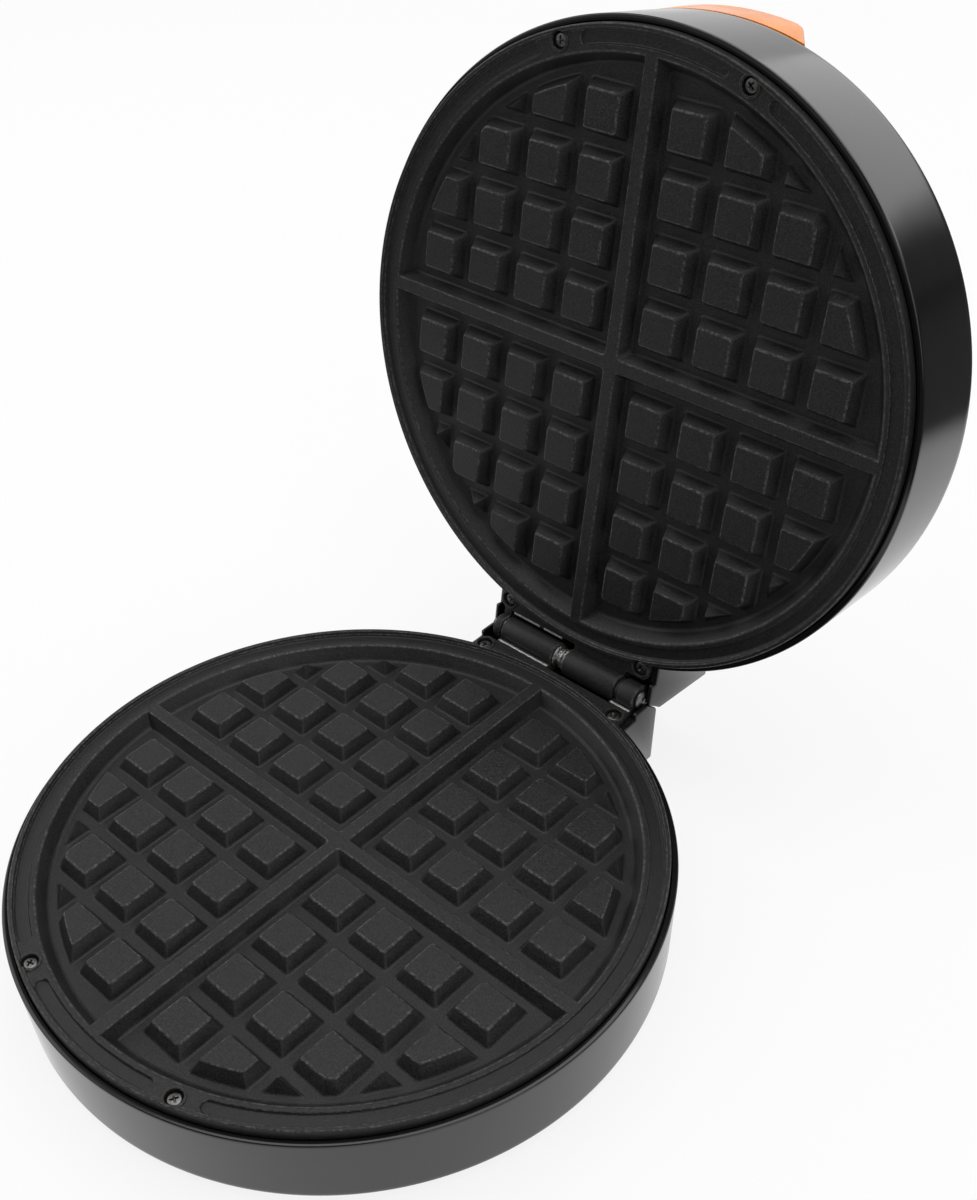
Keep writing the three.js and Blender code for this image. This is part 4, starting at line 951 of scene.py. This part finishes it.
feet = [put(model_foot(), Matrix.Translation((*foot_place(degrees), -BASE_DEPTH))) for degrees in FOOT_ANGLES]
bushing = turn("bushing", [
    (3.4, -4), (5.9, -4), (6.2, -2.2), (4.6, -2.2), (4.6, 0.3), (6.2, 0.3, 0.2), (6.2, 1.3, 0.4),
    (5.3, 2.1, 0.4), (4.1, 2.1, 0.25), (3.4, 1.6), (3.4, -4)], SMALL_STEPS, 3)
put(bushing, cord_place)
upside_down = Matrix.Rotation(math.pi, 4, "X")
lenses = [put(model_lens(), Matrix.Translation((side * LENS_X, LENS_Y, -LID_DEPTH)) @ upside_down)
          for side in (1, -1)]
print(len(feet), "feet,", len(lenses), "lenses, bushing at", [round(v, 2) for v in cord_place.translation])


# %% [markdown]
# ## Finishes
# Every finish is a small node tree on the Principled shader. A helper adds a node and links its inputs, so
# that each finish below reads as a recipe: a base colour with some variation, a roughness with more, and a
# bump at the scale of the real surface. Patterns use Object coordinates, which here are metres on the part.


# %% Helpers for node trees
class Nodes:
    """A node tree, with a shorthand for adding nodes and linking their inputs by name or number."""

    def __init__(self, owner):
        owner.use_nodes = True
        self.tree = owner.node_tree

    def node(self, kind, settings=None, **inputs):
        node = self.tree.nodes.new(kind)
        for key, value in (settings or {}).items():
            setattr(node, key, value)
        for key, value in inputs.items():
            numbered = key[0] == "i" and key[1:].isdigit()
            self.feed(node.inputs[int(key[1:]) if numbered else key.replace("_", " ")], value)
        return node

    def feed(self, socket, value):
        """Links another node's output to a socket, or writes a plain value into it."""
        if isinstance(value, bpy.types.NodeSocket):
            self.tree.links.new(value, socket)
        else:
            socket.default_value = value

    def steps(self, value, low, high, out_low=0.0, out_high=1.0):
        """Maps a range smoothly to another, held at its ends."""
        settings = {"interpolation_type": "SMOOTHSTEP", "clamp": True}
        return self.node("ShaderNodeMapRange", settings, Value=value, From_Min=low, From_Max=high,
                         To_Min=out_low, To_Max=out_high).outputs["Result"]

    def maths(self, operation, first, second):
        return self.node("ShaderNodeMath", {"operation": operation}, i0=first, i1=second).outputs[0]

    def mix(self, share, first, second):
        return self.node("ShaderNodeMix", {"data_type": "RGBA"}, i0=share, i6=first, i7=second).outputs[2]

    def noise(self, scale, detail=3.0, roughness=0.5):
        return self.node("ShaderNodeTexNoise", Vector=self.place, Scale=scale, Detail=detail,
                         Roughness=roughness).outputs["Fac"]

    def bump(self, height, distance, strength=1.0, **under):
        return self.node("ShaderNodeBump", Height=height, Distance=distance, Strength=strength,
                         **under).outputs["Normal"]


class Finish(Nodes):
    """A new material, whose patterns lie on the part's own coordinates."""

    def __init__(self, name, **values):
        self.material = bpy.data.materials.new(name)
        super().__init__(self.material)
        self.shader = self.tree.nodes["Principled BSDF"]
        self.set(**values)
        self.place = self.node("ShaderNodeTexCoord").outputs["Object"]

    def set(self, **values):
        for socket, value in values.items():
            self.feed(self.shader.inputs[socket.replace("_", " ")], value)


def colour(value, tint=(1.0, 1.0, 1.0)):
    """A grey of this brightness, or another colour where there is a tint."""
    return (*(value * part for part in tint), 1.0)


# %% [markdown]
# The shells are gloss black plastic. What one sees of them is almost all reflection, so the finish is a very
# dark base under a clear surface whose gloss varies a little, with fine rub marks and the slight waviness
# that a moulded wall has.

# %% Gloss black shells
def gloss_black():
    finish = Finish("gloss_black", Specular_IOR_Level=0.5)
    cloud = finish.noise(18, 4)
    base = finish.mix(finish.steps(cloud, 0.35, 0.7), colour(0.006), colour(0.010, (1.0, 0.99, 1.02)))
    stretched = finish.node("ShaderNodeMapping", Vector=finish.place, Scale=(900, 900, 90)).outputs[0]
    rub = finish.node("ShaderNodeTexNoise", Vector=stretched, Scale=1.0, Detail=2.0).outputs["Fac"]
    worn_and_highlit = finish.maths("MULTIPLY", finish.steps(rub, 0.62, 0.78), finish.steps(cloud, 0.4, 0.65))
    rough = finish.maths("ADD", finish.steps(cloud, 0.3, 0.75, 0.10, 0.17),
                         finish.maths("MULTIPLY", worn_and_highlit, 0.12))
    wave = finish.bump(finish.noise(26, 2), 0.00022, 0.5)
    finish.set(Base_Color=base, Roughness=rough,
               Normal=finish.bump(finish.noise(2600, 2), 0.000004, 0.6, Normal=wave))
    return finish.material


GLOSS_BLACK = gloss_black()
print("finish", GLOSS_BLACK.name)

# %% [markdown]
# The non-stick coating is nearly black and satin, sprayed on, so it has a fine grain that sparkles faintly.
# Its edges on the pips and dividers and the ends of the knuckles are painted lighter, partly for wear of the
# coating and partly as a painted highlight on the rounded edges. The faces marked for this say where, and a
# noise breaks it up.

# %% Non-stick coating
def non_stick():
    finish = Finish("non_stick_coating", Specular_IOR_Level=0.34)
    grain = finish.noise(2100, 3, 0.65)
    speck = finish.node("ShaderNodeTexVoronoi", Vector=finish.place, Scale=1300.0).outputs["Distance"]
    stain = finish.noise(55, 5, 0.6)
    base = finish.mix(finish.steps(grain, 0.40, 0.62), colour(0.0055), colour(0.021, (1.0, 0.99, 0.97)))
    base = finish.mix(finish.steps(speck, 0.17, 0.07), base, colour(0.055))
    base = finish.mix(finish.steps(stain, 0.45, 0.75, 0.0, 0.25), base, colour(0.018))
    # Lighter on the marked faces: partly wear of the coating, partly a painted highlight along the rounded
    # edges.
    worn_and_highlit = finish.node("ShaderNodeAttribute", {"attribute_name": "wear_and_highlight"}).outputs["Fac"]
    ragged = finish.maths("MULTIPLY", worn_and_highlit, finish.steps(finish.noise(900, 4, 0.75), 0.44, 0.66, 0.03, 1.0))
    base = finish.mix(finish.maths("MULTIPLY", ragged, 0.45), base, colour(0.16, (1.0, 0.98, 0.95)))
    rough = finish.maths("ADD", finish.steps(grain, 0.3, 0.7, 0.40, 0.54),
                         finish.steps(stain, 0.3, 0.7, -0.03, 0.05))
    coarse = finish.bump(finish.noise(700, 2), 0.00003, 0.5)
    finish.set(Base_Color=base, Roughness=rough, Normal=finish.bump(grain, 0.00009, 0.9, Normal=coarse))
    return finish.material


NON_STICK = non_stick()
print("finish", NON_STICK.name)

# %% [markdown]
# Bare metal shows on the milled strips, the pin, its spacer and the screws inside. Each has its own
# brightness and its own kind of mark, made by one recipe with a few numbers.

# %% Bare metals
def metal(name, tint, rough, mark_scale, dirt):
    finish = Finish(name, Metallic=1.0)
    marks = finish.noise(mark_scale, 4, 0.7)
    smear = finish.noise(180, 4, 0.6)
    tone = finish.mix(finish.steps(marks, 0.35, 0.7), colour(0.72, tint), colour(1, tint))
    tone = finish.mix(finish.steps(smear, 0.5, 0.72, 0.0, dirt), tone, colour(0.03, (1.0, 0.93, 0.85)))
    finish.set(Base_Color=tone, Roughness=finish.steps(marks, 0.3, 0.7, rough, rough + 0.18),
               Normal=finish.bump(marks, 0.00004, 0.7))
    return finish.material


MILLED = metal("milled_aluminium", (0.88, 0.87, 0.85), 0.42, 1400, 0.15)
STEEL = metal("worn_steel", (0.40, 0.39, 0.38), 0.36, 900, 0.95)
SCREW_STEEL = metal("dark_screw_steel", (0.20, 0.195, 0.19), 0.26, 1200, 0.7)
ZINC = metal("zinc_plate", (0.66, 0.67, 0.66), 0.32, 800, 0.3)
SHEATH = metal("element_sheath", (0.24, 0.27, 0.24), 0.42, 700, 0.4)
ALUMINISED = metal("aluminised_sheet", (0.70, 0.71, 0.72), 0.38, 300, 0.2)
print("metals", [material.name for material in (MILLED, STEEL, SCREW_STEEL, ZINC, SHEATH, ALUMINISED)])

# %% [markdown]
# The handle is glossy orange plastic with some depth, so it lets a little light in under its surface.
# Rubber, ceramic, the woven sleeves of the leads and the coloured lenses make up the rest.

# %% Plastics, rubber and ceramic
def moulded(name, tint, rough, grain_scale, grain_depth, **values):
    finish = Finish(name, **values)
    cloud = finish.noise(60, 4)
    finish.set(Base_Color=finish.mix(finish.steps(cloud, 0.35, 0.7), colour(0.86, tint), colour(1, tint)),
               Roughness=finish.steps(finish.noise(140, 4), 0.3, 0.7, rough - 0.04, rough + 0.06),
               Normal=finish.bump(finish.noise(grain_scale, 2), grain_depth, 0.6))
    return finish.material


def lens_colour(name, tint):
    return moulded(name, tint, 0.12, 900, 0.000004, Transmission_Weight=0.35, Coat_Weight=0.4)


ORANGE = moulded("orange_gloss", (0.96, 0.28, 0.006), 0.20, 1800, 0.000006, Specular_IOR_Level=0.45,
                 Subsurface_Weight=0.08, Subsurface_Scale=0.003)
RUBBER = moulded("black_rubber", (0.016, 0.016, 0.017), 0.72, 1500, 0.00004)
CERAMIC = moulded("white_ceramic", (0.74, 0.70, 0.62), 0.5, 900, 0.00003)
SLEEVE = moulded("glass_fibre_sleeve", (0.62, 0.58, 0.48), 0.8, 2400, 0.0001)
RED_LENS = lens_colour("red_lens", (0.62, 0.012, 0.010))
GREEN_LENS = lens_colour("green_lens", (0.02, 0.36, 0.07))
LAMP_GLASS = moulded("lamp_glass", (0.85, 0.66, 0.5), 0.1, 900, 0.000004, Transmission_Weight=0.5)
print("plastics", [material.name for material in (ORANGE, RUBBER, CERAMIC, SLEEVE, RED_LENS, GREEN_LENS)])

# %% [markdown]
# ## Put the pieces on the frame
# Each finished piece goes to its place in metres, gets its finish, rides on its body and stands for the CAD
# node that it replaces. The CAD nodes that stay, which are the parts inside the shells, get finishes too.

# %% Settle the new pieces
settle(base_shell, "base_bowl", "base", ["base_shell"], GLOSS_BLACK)
settle(lid_shell, "lid_bowl", "lid", ["lid_shell"], GLOSS_BLACK)
settle(lower_plate, "lower_casting", "base", ["lower_plate"], NON_STICK)
settle(upper_plate, "upper_casting", "lid", ["upper_plate"], NON_STICK)
for screw, node, body in plate_screws:
    settle(screw, f"{node}_detailed", body, [node], SCREW_STEEL)
settle(pin, "hinge_pin_detailed", "base", ["hinge_pin"], SCREW_STEEL)
settle(spacer, "hinge_spacer_detailed", "base", ["hinge_spacer"], STEEL)
settle(washer, "hinge_washer_detailed", "base", [], STEEL)
for half, body, strips in (("lower", "base", lower_strips), ("upper", "lid", upper_strips)):
    for number, strip in enumerate(strips, start=1):
        settle(strip, f"{half}_milled_strip_{number}", body, [], MILLED)
settle(handle_moulding, "handle_detailed", "lid", ["handle"], ORANGE)
settle(bushing, "cord_bushing_detailed", "base", ["cord_bushing"], RUBBER)
for number, foot in enumerate(feet, start=1):
    settle(foot, f"foot_{number}_detailed", "base", [f"foot_{number}"], RUBBER)
settle(lenses[0], "power_lens_detailed", "lid", ["power_lens"], RED_LENS)
settle(lenses[1], "ready_lens_detailed", "lid", ["ready_lens"], GREEN_LENS)

# %% Finish the CAD nodes that stay
INSIDE = {"heating_element": SHEATH, "reflector_screw": ZINC, "reflector": ALUMINISED, "thermostat": CERAMIC,
          "terminal_block": CERAMIC, "element_lead": SLEEVE, "thermal_fuse": SLEEVE, "handle_screw": ZINC,
          "lamp": LAMP_GLASS}
dressed = 0
for node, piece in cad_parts.items():
    finish = next((finish for part, finish in INSIDE.items() if part in node), None)
    if finish:
        piece.data.materials.clear()
        piece.data.materials.append(finish)
        dressed += 1
print(dressed, "CAD nodes dressed")

# %% [markdown]
# ## Camera, floor and light
# The camera's place and lens were worked out from the object's own round rims, so it stands where the
# photographer stood. The floor is plain and pale and keeps the shadow. Gloss black shows only what it
# reflects, so the light comes from broad soft panels, and the pale surroundings do the rest.

# %% Camera
camera = bpy.data.objects.new("camera", bpy.data.cameras.new("camera"))
bpy.context.scene.collection.objects.link(camera)
camera.data.sensor_width = 36
camera.data.lens = 46.3686
camera.data.shift_x = 0.06893
camera.data.shift_y = -0.02923
camera.data.clip_start = 0.01
camera.data.clip_end = 20
VIEW_TURN = Vector((2.1066, 0.8224, -0.4935))
turn_to_view = Matrix.Rotation(VIEW_TURN.length, 3, VIEW_TURN.normalized()).transposed()
camera.matrix_world = Matrix.Translation((0.250686, -0.240810, 0.367506)) @ (
    turn_to_view @ Matrix.Diagonal((1, -1, -1))).to_4x4()
bpy.context.scene.camera = camera
bpy.context.scene.view_settings.view_transform = "Standard"
print("camera", [round(v, 3) for v in camera.location])

# %% Floor and surroundings
TABLE_REACH = (0.34, 0.44)
DARK_ROOM = 0.09
bpy.ops.object.select_all(action="DESELECT")
bpy.ops.mesh.primitive_plane_add(size=8, location=(0, 0, 0))
floor = bpy.context.object
floor.name = "studio_floor"


def floor_paper():
    """Pale paper that keeps the shadow. In reflections it is dark farther off, except at the back left."""
    finish = Finish("studio_paper", Roughness=0.9, Specular_IOR_Level=0.1)
    rays = finish.node("ShaderNodeLightPath").outputs
    distance = finish.node("ShaderNodeVectorMath", {"operation": "LENGTH"}, i0=finish.place).outputs["Value"]
    sides = finish.node("ShaderNodeSeparateXYZ", i0=finish.place).outputs
    left, back = finish.steps(sides["X"], -0.2, -0.7), finish.steps(sides["Y"], 0.3, 0.8)
    far = finish.maths("MULTIPLY", rays["Is Glossy Ray"], finish.steps(distance, *TABLE_REACH))
    far = finish.maths("MULTIPLY", far, finish.maths("SUBTRACT", 1.0, finish.maths("MULTIPLY", left, back)))
    paper = finish.mix(finish.noise(3, 2), colour(0.86), colour(0.88))
    paper = finish.mix(rays["Is Diffuse Ray"], paper, colour(0.5))
    finish.set(Base_Color=finish.mix(far, paper, colour(DARK_ROOM)))
    near = finish.maths("SUBTRACT", rays["Is Glossy Ray"], far)
    seen = finish.maths("MAXIMUM", finish.maths("MAXIMUM", rays["Is Camera Ray"], near),
                        rays["Is Transmission Ray"])
    glow = finish.node("ShaderNodeEmission", Color=colour(1.0), Strength=1.0).outputs[0]
    blend = finish.node("ShaderNodeMixShader", i0=finish.maths("MULTIPLY", seen, 0.85),
                        i1=finish.shader.outputs[0], i2=glow)
    finish.feed(finish.tree.nodes["Material Output"].inputs["Surface"], blend.outputs[0])
    return finish.material


def studio_world():
    """White to the camera. In reflections there is a white backdrop at the back and a dark room around it."""
    world = bpy.data.worlds.new("studio")
    nodes = Nodes(world)
    rays = nodes.node("ShaderNodeLightPath").outputs
    towards = nodes.node("ShaderNodeTexCoord").outputs["Generated"]
    x, y, z = nodes.node("ShaderNodeSeparateXYZ", i0=towards).outputs
    lowered = nodes.maths("MAXIMUM", nodes.maths("MULTIPLY", x, -0.4), nodes.maths("MULTIPLY", x, -0.15))
    above_table = nodes.steps(nodes.maths("ADD", z, lowered), 0.0, 0.16)
    upright_part = nodes.maths("MULTIPLY", above_table, nodes.steps(z, 0.62, 0.42))
    backdrop = nodes.maths("MULTIPLY", upright_part, nodes.steps(y, -0.5, 0.5, 0.35, 1.0))
    mirrored = nodes.steps(backdrop, 0.0, 1.0, DARK_ROOM, 1.0)
    direct = nodes.maths("MAXIMUM", rays["Is Camera Ray"], rays["Is Transmission Ray"])
    level = nodes.maths("MAXIMUM", direct, nodes.maths("MULTIPLY", rays["Is Glossy Ray"], mirrored))
    for_light = nodes.maths("SUBTRACT", 1.0, nodes.maths("MAXIMUM", direct, rays["Is Glossy Ray"]))
    background = nodes.tree.nodes["Background"].inputs
    nodes.feed(background["Strength"], nodes.maths("ADD", level, nodes.maths("MULTIPLY", for_light, 0.30)))
    nodes.feed(background["Color"], colour(1.0))
    return world


floor.data.materials.append(floor_paper())
bpy.context.scene.world = studio_world()
print("floor and surroundings set")


# %% Soft panels
def panel(name, place, target, size, power):
    light = bpy.data.objects.new(name, bpy.data.lights.new(name, "AREA"))
    bpy.context.scene.collection.objects.link(light)
    light.data.shape = "RECTANGLE"
    light.data.size, light.data.size_y = size
    light.data.energy = power
    light.location = place
    light.rotation_euler = (Vector(target) - Vector(place)).to_track_quat("-Z", "Y").to_euler()


panel("panel_left", (-1.3, -0.5, 1.0), (0, -0.03, 0.08), (1.4, 1.4), 9)
panel("panel_right", (1.5, -0.4, 0.9), (0, 0.02, 0.1), (1.1, 1.3), 6)
panel("panel_top", (0.0, 0.3, 1.7), (0, 0.0, 0.05), (1.8, 1.5), 19)
panel("panel_back", (0.2, 1.5, 0.9), (0, 0.05, 0.1), (1.5, 1.0), 3.6)
print("panels set")
